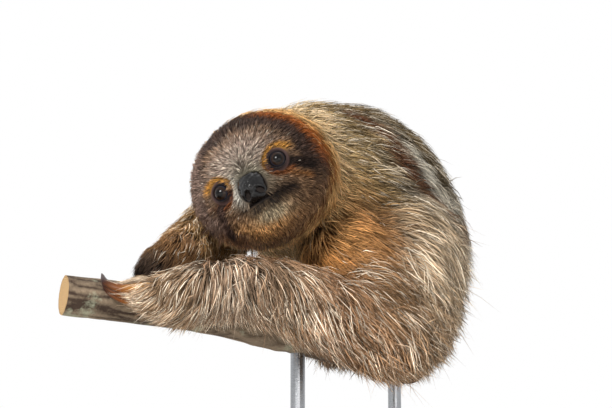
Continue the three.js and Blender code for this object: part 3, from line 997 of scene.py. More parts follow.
@dataclass(frozen=True)
class Head:
    """The head in its own frame: X to the animal's left, -Y out of the face, +Z to the crown."""

    centre: Place = (-68.4, -132.6, 327.3)
    yaw: float = -12.5
    nod: float = 9.6
    roll: float = 28.0
    half_width: float = 47.0
    half_height: float = 43.4
    face_depth: float = 40.0
    nape_depth: float = 47.0
    flatness: float = 2.6
    forms: tuple[Form, ...] = (
        Form(0, -12, 15, 13, 15), Form(0, 4, 10, 12, 6), Form(0, -31, 19, 9, 5),
        Form(31, -20, 13, 13, 4), Form(-31, -20, 13, 13, 4), Form(23, 1, 8, 7, -6),
        Form(-23, 1, 8, 7, -6), Form(0, 19, 30, 9, 3),
    )
    eye_x: float = 21.2
    eye_y: float = -36.2
    eye_z: float = 0.8
    eye_radius: float = 6.2
    gaze: Place = (0.26, -0.96, 0.04)
    nose_z: float = -8.5
    nose_wide: float = 10.0
    nose_tall: float = 9.8
    mouth_z: float = -18.2
    mouth_half: float = 15.5
    reach: float = 72.0
    front_y: float = -20.0

    def turn(self) -> Array:
        """The three by three turn from the head's frame to the world's."""
        made = (
            Matrix.Rotation(math.radians(self.yaw), 3, "Z")
            @ Matrix.Rotation(math.radians(self.nod), 3, "X")
            @ Matrix.Rotation(math.radians(-self.roll), 3, "Y")
        )
        return np.array(made)

    def out(self, local: Array) -> Array:
        """Places in the head's frame as places in the world."""
        return local @ self.turn().T + np.array(self.centre)

    def inside(self, points: Array) -> Array:
        """Places in the world as places in the head's frame."""
        return (points - np.array(self.centre)) @ self.turn()

    def holds(self, local: Array) -> Array:
        """True for places that are within the head's reach."""
        return np.linalg.norm(local, axis=1) < self.reach

    def push(self, x: Array, z: Array) -> Array:
        """How far the forms of the face push it out: the sum of their bells."""
        return sum(f.push * hump(x, f.x, f.spread_x) * hump(z, f.z, f.spread_z) for f in self.forms)

    def front(self, x: Array, z: Array) -> Array:
        """The face's depth y across and up: a flattened ellipsoid with its forms.

        Args:
            x: how far across.
            z: how far up.

        Returns:
            The y there, which is negative.
        """
        spread = np.clip(np.hypot(x / self.half_width, z / self.half_height), 0.0, 0.999)
        dome = (1 - spread**self.flatness) ** (1 / self.flatness)
        ease = np.minimum(1.0, 2.0 * np.sqrt(1 - spread**2))
        return -self.face_depth * dome - self.push(x, z) * ease

    def mouth_line(self, x: Array) -> Array:
        """The height of the lips' meeting across the face: a shallow smile."""
        return self.mouth_z + 0.004 * x**2

    def eye_axis(self, side: int) -> tuple[Array, Array]:
        """The middle of an eyeball and the way that it looks, in the head's frame."""
        gaze = unit(np.array(self.gaze) * (side, 1, 1))
        return np.array([side * self.eye_x, self.eye_y, self.eye_z]), gaze

    def polar(self, local: Array) -> Array:
        """The angle in degrees from the way that the face looks."""
        tall = self.half_width / self.half_height
        return np.degrees(np.arctan2(np.hypot(local[:, 0], local[:, 2] * tall), -local[:, 1] * 1.15))

    def lids(self, local: Array, side: int) -> Array:
        """The face with the lids of one eye: a rounded rim that hugs the ball round its opening.

        A place keeps its distance r from the gaze and gets a new height along it: under the ball
        within the opening, above the ball at the rim, then down to the face.

        Args:
            local: places of the face.
            side: 1 for the left eye, -1 for the right.

        Returns:
            The places moved.
        """
        middle, gaze = self.eye_axis(side)
        away = local - middle
        height = away @ gaze
        flat = away - height[:, None] * gaze
        r = np.hypot(flat[:, 0] / 1.06, flat[:, 2] * 1.04)
        ball = np.sqrt(np.maximum(self.eye_radius**2 - r**2, 0.2))
        at = np.array([0, 4.6, 5.0, 5.45, 6.1, 7.0, 8.2, 9.4, 10.6])
        rim = np.array([-2.4, -1.6, 0.0, 0.6, 0.62, 0.05, -0.7, -1.3, -2.2])
        rim = rim + np.sqrt(self.eye_radius**2 - 5.2**2)
        target = np.where(r < 4.6, ball - 2.2, np.interp(r, at, rim))
        crease = 0.4 * hump(r, 7.6, 0.45) * smooth(-0.5, 1.0, flat[:, 2] / np.maximum(r, 1e-6))
        share = (1 - smooth(8.4, 12.0, r)) * (height > -9)
        return local + gaze * ((target - crease - height) * share)[:, None]

    def surface(self, rows: int = 210, sides: int = 224) -> tuple[Array, Array]:
        """The closed skin of the head on rings round the way that the face looks.

        Behind, it is half an ellipsoid. In front it is the face with lids, a slit between the lips
        and rolled lips. Rings are closer together in front.

        Args:
            rows: the number of steps from the face to the nape.
            sides: the number of points round a ring.

        Returns:
            The points and the triangles.
        """
        share = np.arange(1, rows) / rows
        polar = math.pi * (0.62 * share + 0.38 * share**3.2)
        angle = circle(sides)
        spread = np.sin(polar)[:, None]
        x = (self.half_width * spread * np.cos(angle)).ravel()
        z = (self.half_height * spread * np.sin(angle)).ravel()
        ahead = np.repeat(np.cos(polar) > 0, sides)
        behind = np.repeat(-self.nape_depth * np.cos(polar), sides)
        local = np.stack([x, np.where(ahead, self.front(x, z), behind), z], axis=1)
        in_front = local[ahead]
        for side in (1, -1):
            in_front = self.lids(in_front, side)
        in_front[:, 1] += self.lips(in_front)
        local[ahead] = in_front
        poles = [(0, float(self.front(np.zeros(1), np.zeros(1))[0]), 0), (0, self.nape_depth, 0)]
        return self.out(np.vstack([local, poles])), tube_faces(rows - 1, sides)

    def lips(self, local: Array) -> Array:
        """How far the mouth sinks the face: a narrow slit, less two soft rolls beside it.

        Args:
            local: places in the head's frame.

        Returns:
            One depth for each.
        """
        x = local[:, 0]
        off = local[:, 2] - self.mouth_line(x)
        reach = 1 - smooth(self.mouth_half - 6, self.mouth_half, np.abs(x))
        philtrum = 0.5 * hump(x, 0, 0.8) * smooth(-1.5, 0.5, off) * (1 - smooth(1.5, 3, off))
        slit = 2.4 * hump(off, 0, 0.6)
        return (slit - 0.8 * hump(off, 2.0, 1.2) - 0.9 * hump(off, -2.3, 1.6)) * reach + philtrum


# ---------- Markings ----------


@dataclass(frozen=True)
class Markings:
    """The colours of the coat by place, which the skin and the coat share."""

    head: Head
    spine: tuple[Place, ...] = (
        (-11, -78, 382), (4, -75, 372), (15, -75, 360), (30, -71, 346), (43, -62, 336), (55, -57, 325),
        (67, -31, 318), (79, 0, 319), (84, 36, 330), (77, 76, 347), (60, 116, 358), (44, 152, 348),
        (38, 186, 325),
    )
    # golden fur under the head, lightened as painted light against the shade of the pocket between head and
    # shoulder
    lit_golden_patches: tuple[tuple[Place, float, str], ...] = (
        ((-14, -126, 316), 20, "ecc080"),
        ((-8, -120, 304), 20, "d99f60"),
        ((8, -108, 306), 17, "947150"),
        ((-33, -115, 286), 21, "c08548"),
    )

    @staticmethod
    def lay(base: Array, mask: Array, code: str) -> Array:
        """A colour laid over another as far as a mask says."""
        return base + (linear(code) - base) * np.clip(mask, 0, 1)[:, None]

    @staticmethod
    def band(x: Array, z: Array, start: tuple, stop: tuple, wide: float) -> Array:
        """1 near the straight line from start to stop, fading with the distance over the width.

        Args:
            x: how far across.
            z: how far up.
            start: the line's start, across and up.
            stop: its end.
            wide: the spread.

        Returns:
            The mask.
        """
        a, b = np.array(start, float), np.array(stop, float)
        flat = np.stack([x, z], 1) - a
        t = np.clip(flat @ (b - a) / ((b - a) @ (b - a)), 0, 1)
        return hump(np.linalg.norm(flat - t[:, None] * (b - a), axis=1), 0, wide)

    def face(self, local: Array) -> Array:
        """The head's colours: a pale brow, orange round the eyes, dark eye stripes, a dark hood, and a
        golden chin lightened as painted light.

        Args:
            local: places in the head's frame.

        Returns:
            A colour for each.
        """
        x, z = local[:, 0], local[:, 2]
        a = np.abs(x)
        angle = self.head.polar(local) + 4.0 * ripple(local, 26, 3) + 2.0 * ripple(local, 9, 4)
        low = smooth(-6, -30, z)
        r, up, inner = self.from_eye(x, z)
        ring = self.ring(r)
        tan = smooth(42, 54, angle) * smooth(-12, -24, z) * smooth(-16, -28, x)
        lip = (1.0 + 0.6 * ripple(local, 5, 6)) * hump(x, 3, 12) * hump(z, -20.5, 3.0)
        layers = (
            (hump(ripple(local, 10, 5), 1, 0.7) * 0.5, "4e382c"),
            # golden fur under the chin, lightened as painted light where the jaw faces down into shade
            (hump(z, -31, 8) * hump(x, -9, 20), "f0b574"),
            (smooth(36, 45, angle) * (1 - 0.8 * low), "46362f"),
            (smooth(38, 46, angle) * smooth(-12, -34, x), "8f786c"),
            (0.9 * smooth(51, 61, angle) * smooth(-16, 6, z) * smooth(2, 30, x), "a05a28"),
            (smooth(66, 78, angle) * smooth(-10, 20, x) * (1 - 0.6 * low), "8f5a28"),
            (smooth(78, 90, angle + 13 * smooth(10, 34, z)), "cda46e"),
            (smooth(98, 118, angle), "c8b088"),
            (0.8 * tan, "a5764c"),
            (1.4 * self.brow(x, z), "ac998c"),
            (1.4 * hump(x, 0, 13) * hump(z, -4, 12), "8a8371"),
            (0.8 * hump(x, -1, 3) * hump(z, 8, 5), "3c322c"),
            (1.4 * hump(x, 2, 11) * hump(z, -26, 4.5), "baa98c"),
            (lip, "332c28"),
            (1.4 * hump(x, -10.5, 4.2) * hump(z, -3.5, 9), "d6d1c6"),
            (1.0 * ring * smooth(-0.3, 0.4, 0.9 * up + 0.35 * inner), "bd8840"),
            (1.2 * ring * smooth(0.0, 0.7, -up + 0.3 * inner), "7a4a2c"),
            (1.6 * self.band(x, z, (28, -4.5), (35, -11), 3.3), "241a16"),
            (1.6 * self.band(x, z, (-25.5, -6), (-30.5, -24), 2.8), "4c3a33"),
            (0.8 * self.band(x, z, (23.5, -10.5), (32, -16.5), 1.8), "85562c"),
            (smooth(-26, 10, x) * self.band(a, z, (13, -16.5), (21, -18), 4.0), "2a211d"),
            (1.3 * self.band(x, z, (1, -18.9), (14, -17.6), 1.7), "211916"),
        )
        colour = np.tile(linear("87694f"), (len(local), 1))
        for mask, code in layers:
            colour = self.lay(colour, mask, code)
        return colour

    @staticmethod
    def ring(r: Array) -> Array:
        """The band of coloured hair round an eye, by the distance from it."""
        return smooth(7.4, 8.6, r) * (1 - smooth(9.4, 12.4, r))

    @staticmethod
    def brow(x: Array, z: Array) -> Array:
        """The pale patch between and above the eyes, wider on the animal's right."""
        wide = np.exp(-((np.where(x < 0, x / 25, (x - 1) / 20)) ** 2))
        return wide * hump(z, 10, 14) * (1 - smooth(28, 38, np.hypot(x, z)))

    def from_eye(self, x: Array, z: Array) -> tuple[Array, Array, Array]:
        """The distance from the nearer eye, and how far above it and on its inner side, as shares.

        Args:
            x: how far across.
            z: how far up.

        Returns:
            The distance, the share above and the share inside.
        """
        across, above = np.abs(x) - self.head.eye_x, z - self.head.eye_z
        r = np.hypot(across, above)
        return r, above / np.maximum(r, 1e-6), -across / np.maximum(r, 1e-6)

    def bare(self, local: Array) -> Array:
        """1 where the skin is bare: round the eyes, under the nose and between the lips.

        Args:
            local: places in the head's frame.

        Returns:
            The mask.
        """
        x, z = local[:, 0], local[:, 2]
        h = self.head
        ahead = local[:, 1] < h.front_y
        r, _, _ = self.from_eye(x, z)
        eyes = 1 - smooth(7.4, 8.8, r)
        nose = 1 - smooth(0.95, 1.12, np.hypot(x / h.nose_wide, (z - h.nose_z) / h.nose_tall))
        across = 1 - smooth(h.mouth_half - 3, h.mouth_half + 1, np.abs(x))
        lips = (1 - smooth(1.0, 2.1, np.abs(z - h.mouth_line(x)))) * across
        return np.maximum(np.maximum(eyes, nose), lips) * ahead

    def hide(self, local: Array) -> Array:
        """The colour of bare skin: plum brown on the lids, dark inside their rims, black on the lips.

        Args:
            local: places in the head's frame.

        Returns:
            A colour for each.
        """
        r, _, _ = self.from_eye(local[:, 0], local[:, 2])
        colour = np.tile(linear("1f1a18"), (len(local), 1))
        colour = self.lay(colour, 1 - smooth(9.4, 11, r), "483634")
        return self.lay(colour, 1 - smooth(5.6, 8.4, r), "120b0a")

    def in_lit_golden_patches(self, points: Array) -> Array:
        """How far each place is in each of the golden patches under the head: golden fur, lightened as
        painted light where the pocket between head and shoulder lies in shade.

        Args:
            points: places in mm.

        Returns:
            A row for each patch.
        """
        cloud = 4.0 * ripple(points, 12, 14)
        masks = []
        for place, wide, _ in self.lit_golden_patches:
            far = np.linalg.norm(points - np.array(place, float), axis=1) + cloud
            masks.append(hump(far, 0, wide))
        return np.stack(masks)

    def spine_bands(self, points: Array) -> tuple[Array, Array]:
        """How far a place is in the brown line along the back, and in the pale bands beside it.

        Args:
            points: places in mm.

        Returns:
            The two masks.
        """
        line = catmull(np.array(self.spine, float), np.linspace(0, 1, 90))
        squares = (points**2).sum(1)[:, None] + (line**2).sum(1)[None] - 2.0 * points @ line.T
        best = squares.argmin(axis=1)
        away = points - line[best]
        deep = unit(line[best] - TORSO.frames(TORSO.nearness(line)[1])[0][best])
        far = np.linalg.norm(away - deep * dot(away, deep), axis=1) + 1.2 * ripple(points, 24, 13)
        beyond = smooth(-4, 6, away[:, 1])
        return hump(far, 0, 7.4), smooth(2, 20, best) * (0.2 + 0.9 * beyond) * hump(far, 17.5, 7.5)

    @staticmethod
    def painted_head_shadow(points: Array, tube: Tube, t: Array) -> Array:
        """1 along the top of the left arm under the head: painted shadow of the head, which makes the coat
        browner there and gives it few cream tufts.

        Args:
            points: places in mm.
            tube: the part.
            t: where along it.

        Returns:
            The mask.
        """
        if tube is not ARM_LEFT:
            return np.zeros(len(points))
        lean = np.degrees(tube.turn_of(points, t))
        return hump(lean, 0, 36) * smooth(0.15, 0.25, t) * (1 - smooth(0.55, 0.75, t))

    def body(self, points: Array, tube: Tube, t: Array) -> Array:
        """A part's own tone, clouded, with painted shadow of the head on the left arm, golden patches under
        the head lightened as painted light, the brown line along the back and the pale bands beside it.

        Args:
            points: places in mm.
            tube: the part.
            t: where along it.

        Returns:
            A colour for each.
        """
        codes = np.array([linear(c) for c in tube.pelt.tone])
        colour = np.stack([evenly(codes[:, k], t) for k in range(3)], axis=1)
        cloud = 0.10 * ripple(points, 45, 11) + 0.10 * ripple(points, 14, 12)
        # painted shadow of the head on the top of the left arm, in 785333
        colour = self.lay(colour * (1 + cloud)[:, None], 0.95 * self.painted_head_shadow(points, tube, t), "785333")
        # golden patches under the head, lightened as painted light in the shaded pocket
        for mask, (_, _, code) in zip(self.in_lit_golden_patches(points), self.lit_golden_patches):
            colour = self.lay(colour, 1.1 * mask, code)
        brown, pale = self.spine_bands(points)
        colour = self.lay(colour, pale, "d6d0c2")
        return self.lay(colour, 1.3 * brown, "654430")


@dataclass
class Plan:
    """The head and the tubes together: which part a place belongs to, and what grows there."""

    head: Head = field(default_factory=Head)
    blend: float = 0.22

    def shares(self, points: Array) -> tuple[Array, Array]:
        """For each place, its share in each tube and last in the head, and where along each tube.

        Args:
            points: places in mm.

        Returns:
            The shares and the places along, with a column for each part.
        """
        local = self.head.inside(points)
        deep = np.where(local[:, 1] < 0, self.head.face_depth, self.head.nape_depth)
        size = np.tile([self.head.half_width, 1.0, self.head.half_height], (len(points), 1))
        size[:, 1] = deep
        found = [tube.nearness(points) for tube in TUBES]
        near = np.stack([f[0] for f in found] + [np.linalg.norm(local / size, axis=1)], axis=1)
        share = np.exp(-(((near - near.min(axis=1, keepdims=True)) / self.blend) ** 2))
        return share / share.sum(axis=1, keepdims=True), np.stack([f[1] for f in found], axis=1)

    def mixed(self, share: Array, of_tube: Callable[[int, Tube], Array], of_head: Array) -> Array:
        """A value of each part, mixed by the shares.

        Args:
            share: the shares of the parts.
            of_tube: the value of a tube, by its number.
            of_head: the value of the head.

        Returns:
            The mixed value.
        """
        total = of_head * share[:, -1:]
        for k, tube in enumerate(TUBES):
            total = total + of_tube(k, tube) * share[:, k : k + 1]
        return total


# ---------- Skin ----------


@dataclass
class Skin:
    """One closed skin: the tubes grown together, joined to a finer head."""

    plan: Plan
    marks: Markings
    voxel: float = 3.0
    soften: int = 7
    object: Thing | None = None

    def build(self, effects: Effects) -> Thing:
        """Joins the parts' surfaces, remeshes and softens them, and adds the head by a union.

        Args:
            effects: the node groups.

        Returns:
            The skin.
        """
        points, faces, count = [], [], 0
        for tube in TUBES:
            for first, last in tube.spans:
                p, f = tube.skin(first, last)
                points.append(p)
                faces.append(outwards(p, f) + count)
                count += len(p)
        body = link(mesh_of("skin_body", np.vstack(points), np.vstack(faces)))
        remesh = body.modifiers.new("grow_together", "REMESH")
        remesh.mode, remesh.voxel_size = "VOXEL", self.voxel * MM
        soft = body.modifiers.new("soften", "SMOOTH")
        soft.factor, soft.iterations = 0.5, self.soften
        head = link(mesh_of("skin_head", *self.plan.head.surface()))
        join = body.modifiers.new("join_head", "BOOLEAN")
        join.operation, join.object, join.solver = "UNION", head, "EXACT"
        mesh = settled(body, "skin")
        bpy.data.objects.remove(head)
        self._dress(mesh)
        nodes = ["head", "neck", "trunk", "tail"]
        for limb in (("upper_arm", "forearm", "hand"), ("thigh", "shank", "foot")):
            nodes += [f"{part}_{side}" for part in limb for side in ("left", "right")]
        self.object = piece(mesh, [SkinFinish(effects).build()], nodes)
        return self.object

    def _dress(self, mesh: Mesh) -> None:
        """Gives the skin its markings and says where it is bare.

        Args:
            mesh: the skin's mesh.
        """
        points = places_of(mesh)
        share, t = self.plan.shares(points)
        local = self.plan.head.inside(points)
        face = self.marks.face(local)
        colour = self.plan.mixed(share, lambda k, tube: self.marks.body(points, tube, t[:, k]), face)
        bare = self.marks.bare(local) * self.plan.head.holds(local)
        give_numbers(mesh, marking=colour, bare=bare, hide=self.marks.hide(local))

    def nearest(self, points: Array) -> Array:
        """The nearest places on the skin, found by a shrinkwrap of loose points.

        Args:
            points: places in mm.

        Returns:
            One place on the skin for each.
        """
        probe = link(mesh_of("probe", points, np.zeros((0, 3), int)))
        wrap = probe.modifiers.new("onto_skin", "SHRINKWRAP")
        wrap.target, wrap.wrap_method = self.object, "NEAREST_SURFACEPOINT"
        mesh = settled(probe, "probe_done")
        found = places_of(mesh)
        bpy.data.meshes.remove(mesh)
        return found


# ---------- Coat ----------


@dataclass(frozen=True)
class HeadPelt:
    """The coat of the head by the angle in degrees from the way that the face looks."""

    angle: tuple[float, ...] = (0, 20, 34, 46, 60, 75, 90, 115, 180)
    length: tuple[float, ...] = (3.6, 4.4, 5.4, 7.0, 10.0, 14.0, 19.0, 25.0, 28.0)
    depth: tuple[float, ...] = (1.7, 1.8, 2.0, 2.6, 3.2, 4.2, 5.6, 8.0, 9.0)
    width: tuple[float, ...] = (0.5, 0.55, 0.6, 0.65, 0.75, 0.85, 0.95, 1.1, 1.3)
    dense: tuple[float, ...] = (2.4, 2.4, 2.1, 1.7, 1.25, 0.95, 0.75, 0.5, 0.3)
    pale: tuple[float, ...] = (0.0, 0.0, 0.0, 0.0, 0.0, 0.3, 0.5, 0.42, 0.3)

    def read(self, what: str, angle: Array) -> Array:
        """One of the values at angles."""
        return np.interp(angle, self.angle, getattr(self, what))


@dataclass
class Roots:
    """Where tufts grow and how: places, normals, ways, sizes, colours, parts and locks, as arrays."""

    at: Array
    normal: Array
    way: Array
    length: Array
    depth: Array
    width: Array
    colour: Array
    part: Array
    along: Array
    stray: Array
    chance: Array
    lock: Array

    def only(self, keep: Array) -> "Roots":
        """The roots that an index or mask keeps."""
        return Roots(**{name: getattr(self, name)[keep] for name in self.__dataclass_fields__})


class Growth(Enum):
    """How a tuft is built: the number of rings of three corners below its tip."""

    LONG = 3
    SHORT = 2

    @property
    def triangles(self) -> int:
        """How many triangles one tuft has."""
        return 6 * (self.value - 1) + 4


@dataclass
class CoatGrower:
    """Grows the coat: chooses roots, lays tufts along the skin and joins them into pieces."""

    plan: Plan
    marks: Markings
    skin: Skin
    head_pelt: HeadPelt = field(default_factory=HeadPelt)
    most_triangles: int = 1_440_000
    most_in_piece: int = 190_000
    lock_size: float = 7.5
    short: float = 13.0
    plain: float = 26.0
    unruly: float = 0.2
    messy: float = 0.24
    crimp: float = 0.018
    least_turn: float = 0.6
    under: float = 0.42
    patch: float = 0.003
    fluff: Place = (88, 20, 312)
    fluff_wide: float = 22.0
    root_depth: float = 0.6
    probe: float = 7.0
    cream: str = "e9decb"
    straw: str = "d3ab70"

    def grow(self) -> None:
        """Makes every piece of the coat."""
        rng = np.random.default_rng(SEED)
        roots = self._roots(rng)
        finish = HairFinish().build()
        for part in range(len(TUBES) + 1):
            name = TUBES[part].name if part < len(TUBES) else "head"
            for growth in Growth:
                brief = roots.length < self.plain
                mine = np.flatnonzero((roots.part == part) & (brief == (growth is Growth.SHORT)))
                if not len(mine):
                    continue
                mine = mine[np.argsort(roots.along[mine], kind="stable")]
                pieces = math.ceil(len(mine) * growth.triangles / self.most_in_piece)
                for number, chunk in enumerate(np.array_split(mine, pieces), 1):
                    title = f"coat_{name}_{growth.name.lower()}_{number}"
                    self._piece(title, roots.only(chunk), growth.value, finish, rng)

    def _roots(self, rng: Chances) -> Roots:
        """Roots spread over the skin's triangles in proportion to area and density.

        Args:
            rng: the chances.

        Returns:
            The roots.
        """
        mesh = self.skin.object.data
        mesh.calc_loop_triangles()
        flat = np.zeros(len(mesh.loop_triangles) * 3, np.int32)
        mesh.loop_triangles.foreach_get("vertices", flat)
        corners = flat.reshape(-1, 3)
        points, normals = places_of(mesh), places_of(mesh, "normal")
        a, b, c = (points[corners[:, k]] for k in range(3))
        area = 0.5 * np.linalg.norm(np.cross(b - a, c - a), axis=1)
        middle = (a + b + c) / 3
        share, t = self.plan.shares(middle)
        angle = self.plan.head.polar(self.plan.head.inside(middle))
        wanted = area * self._value("dense", share, t, angle)
        brief = self._value("length", share, t, angle) < self.plain
        each = np.where(brief, Growth.SHORT.triangles, Growth.LONG.triangles)
        fitting = min(1.0, self.most_triangles / (wanted * each).sum())
        total = np.cumsum(wanted * fitting)
        count = int(total[-1])
        chosen = np.searchsorted(total, (np.arange(count) + rng.random(count)) * total[-1] / count)
        chosen = np.minimum(chosen, len(corners) - 1)
        u, v = rng.random((2, count))
        over = u + v > 1
        u, v = np.where(over, 1 - u, u), np.where(over, 1 - v, v)
        weights = np.stack([1 - u - v, u, v], axis=1)[:, :, None]
        at = (points[corners[chosen]] * weights).sum(1)
        normal = unit((normals[corners[chosen]] * weights).sum(1))
        log.info("coat: %d tufts wanted, %.2f of the density", count, fitting)
        return self._described(at, normal, rng)

    def _value(self, what: str, share: Array, t: Array, angle: Array) -> Array:
        """A value of the pelts, mixed by the shares of the parts."""
        own = self.head_pelt.read(what, angle)[:, None]
        return self.plan.mixed(share, lambda k, tube: tube.pelt.read(what, t[:, k])[:, None], own)[:, 0]

    def _described(self, at: Array, normal: Array, rng: Chances) -> Roots:
        """What grows at each root, with the bare places left out.

        Args:
            at: places on the skin.
            normal: the skin's normals there.
            rng: the chances.

        Returns:
            The roots.
        """
        local = self.plan.head.inside(at)
        bald = (self.marks.bare(local) > 0.5) & self.plan.head.holds(local)
        at, normal, local = at[~bald], normal[~bald], local[~bald]
        share, t = self.plan.shares(at)
        angle = self.plan.head.polar(local)
        count = len(at)
        part = share.argmax(axis=1)
        chin = share[:, -1] * smooth(-16, -36, local[:, 2]) * smooth(35, 55, angle)
        length = self._value("length", share, t, angle) * (1 - 0.45 * chin)
        lock = self._lock_of(at, part, length)
        draw = rng.normal(size=(lock.max() + 1, 4)).clip(-2, 2)[lock]
        lie = self.plan.mixed(share, lambda k, tube: tube.lie(t[:, k]), self._head_way(local, angle))
        wander = np.stack([ripple(at, 34, 31 + k) for k in range(3)], axis=1)
        wild = np.where(rng.random(count) < 0.27, 1.8, 0.85)[:, None]
        own = self.unruly * draw[:, :3] + self.messy * wild * rng.normal(size=at.shape)
        fluff = hump(np.linalg.norm(at - np.array(self.fluff, float), axis=1), 0, self.fluff_wide)
        stray = (rng.random(count) < 0.015 + 0.6 * fluff) & (length > 16)
        way = unit(lie) + 0.2 * wander + np.clip(length / 26, 0.2, 1.0)[:, None] * own
        way = way + (fluff * (0.5 + stray))[:, None] * (1.6 * normal + np.array([0.4, -0.3, 0.1]))
        seen = at + 0.4 * unit(way) * (length * smooth(14, 24, length))[:, None]
        face = self.marks.face(local)
        colour = self.plan.mixed(share, lambda k, tube: self.marks.body(seen, tube, t[:, k]), face)
        chance = rng.random(count)
        under = (rng.random(count) < self.under) & ~stray
        often = self._often(at, local, share, t, angle, draw[:, 3]) + fluff * stray
        pale = (rng.random(count) < often) & ~under
        gold = linear(self.straw) - linear(self.cream)
        cream = linear(self.cream) + gold * share[:, -1:] * smooth(50, 70, angle)[:, None]
        creamy = np.maximum(rng.uniform(0.25, 0.9, count), fluff)[:, None]
        colour = np.where(pale[:, None], colour + (cream - colour) * creamy, colour)
        # under tufts darker, partly as painted shade low in the coat; locks drawn to stand higher are
        # lighter, as painted light
        shade = (1 + 0.14 * draw[:, 3]) * np.where(under, 0.56, 1.0) * rng.uniform(0.75, 1.25, count)
        high = rng.uniform(0.6, 1.12, count) * (1 + 0.16 * draw[:, 3]) * np.where(under, 0.62, 1.0)
        tall = length * rng.uniform(0.7, 1.18, count) * np.where(stray, 1.3 - 0.6 * fluff, 1.0)
        slim = np.where(stray, 0.45 + 0.4 * fluff, np.where(under, 1.5, 0.66))
        place = t[np.arange(count), np.minimum(part, len(TUBES) - 1)]
        depth = self._value("depth", share, t, angle) * high * np.where(stray, 1.5 + fluff, 1.0)
        return Roots(
            at=at,
            normal=normal,
            way=way,
            length=tall * (1 + 0.08 * draw[:, 3]),
            depth=depth * (1 - 0.5 * chin),
            width=self._value("width", share, t, angle) * rng.uniform(0.75, 1.2, count) * slim,
            colour=colour * shade[:, None],
            part=part,
            along=np.where(part < len(TUBES), place, angle / 180),
            stray=stray,
            chance=chance,
            lock=lock,
        )

    def _often(self, at: Array, local: Array, share: Array, t: Array, angle: Array, swing: Array) -> Array:
        """How often a tuft is cream.

        Args:
            at: the roots' places.
            local: the same in the head's frame.
            share: the shares of the parts.
            t: where along each tube.
            angle: degrees off the face's way.
            swing: a draw that each lock shares.

        Returns:
            The chance of each root.
        """
        none = np.zeros((len(at), 1))
        painted_head_shadow = self.plan.mixed(share, lambda k, tube: self.marks.painted_head_shadow(at, tube, t[:, k])[:, None], none)
        brown, _ = self.marks.spine_bands(at)
        plain = (1 - 0.85 * brown) * (1 - 0.95 * np.minimum(1.4 * self.marks.in_lit_golden_patches(at).sum(axis=0), 1))
        x, z = local[:, 0], local[:, 2]
        ring = self.marks.ring(self.marks.from_eye(x, z)[0])
        ahead = local[:, 1] < self.plan.head.front_y
        brow = self.marks.brow(x, z) * share[:, -1] * ahead * (1 - ring)
        pale = self._value("pale", share, t, angle) * (1 + 0.5 * swing)
        # fewer cream tufts in the painted shadow of the head on the left arm
        return pale * (1 - 0.75 * painted_head_shadow[:, 0]) * plain + 0.4 * brow

    def _lock_of(self, at: Array, part: Array, length: Array) -> Array:
        """The number of the lock that each root belongs to: a cell of a wavy lattice.

        Args:
            at: the roots' places.
            part: the number of each one's part.
            length: the tufts' lengths.

        Returns:
            The numbers, from 0 up.
        """
        size = np.where(length < self.short, 0.35, 1.0)[:, None] * self.lock_size
        wave = np.stack([ripple(at, 17, 41 + k) for k in range(3)], axis=1) * 3.0
        turned = at @ np.array([[0.8, 0.6, 0], [-0.48, 0.64, 0.6], [0.36, -0.48, 0.8]])
        cell = np.floor((turned + wave) / size)
        key = (cell @ np.array([73856093.0, 19349663.0, 83492791.0])).astype(np.int64) + part * 7
        return np.unique(key, return_inverse=True)[1]

    def _head_way(self, local: Array, angle: Array) -> Array:
        """The lie of the head's hair: out from the top of the nose, then down round the hood.

        Args:
            local: places in the head's frame.
            angle: degrees off the face's way.

        Returns:
            World vectors.
        """
        fanned = unit(local - np.array([-1.0, -64.0, 6.0]))
        x, z = local[:, 0], local[:, 2]
        hood = unit(np.stack([z, 0.4 * np.hypot(x, z), -x], axis=1))
        backwards = np.tile([0.0, 1.0, -0.1], (len(local), 1))
        ring = (smooth(52, 68, angle) * (1 - smooth(110, 140, angle)) * smooth(-14, 10, x))[:, None]
        mixed = fanned * (1 - ring) + hood * ring
        back = smooth(110, 140, angle)[:, None]
        return (mixed * (1 - back) + backwards * back) @ self.plan.head.turn().T

    def _march(self, r: Roots, rings: int) -> tuple[Array, Array]:
        """The middles of a tuft's rings and the normals there.

        Each step goes along the way laid on the skin, and the place is then lifted to its height
        above the nearest skin. A way that leaves the skin is kept in part, so that hair hangs free
        from an underside. A place whose nearest skin leaps to another part stays where it is.

        Args:
            r: the roots.
            rings: the number of steps.

        Returns:
            The middles and the normals, by root and then by ring.
        """
        at, normal = r.at - r.normal * self.root_depth, r.normal
        step, foot = r.length / rings, r.at
        middles, normals = [at], [normal]
        for k in range(1, rings + 1):
            s = k / rings
            outward = dot(r.way, normal)
            laid = unit(r.way - normal * (outward - 0.45 * np.maximum(outward, 0)))
            at = at + laid * step[:, None]
            near = self.skin.nearest(at + normal * self.probe)
            leapt = (np.linalg.norm(near - foot, axis=1) > 1.5 * step + 4.0) | (r.stray & (k > 1))
            turned = unit(unit(at + normal * self.probe - near) + 0.35 * normal)
            normal = np.where(leapt[:, None], normal, turned)
            foot = np.where(leapt[:, None], foot + laid * step[:, None], near)
            high = dot(at - near, normal)[:, 0]
            wanted = r.depth * np.where(r.stray, s, s**0.42)
            lifted = np.maximum(high, wanted)
            lifted = np.where(lifted > wanted, wanted + (lifted - wanted) * 0.7, lifted)
            at = at + normal * np.where(leapt, 0.0, lifted - high)[:, None]
            at = at - UP * (0.05 * r.length * s**2)[:, None]
            middles.append(at)
            normals.append(normal)
        return np.stack(middles, axis=1), np.stack(normals, axis=1)

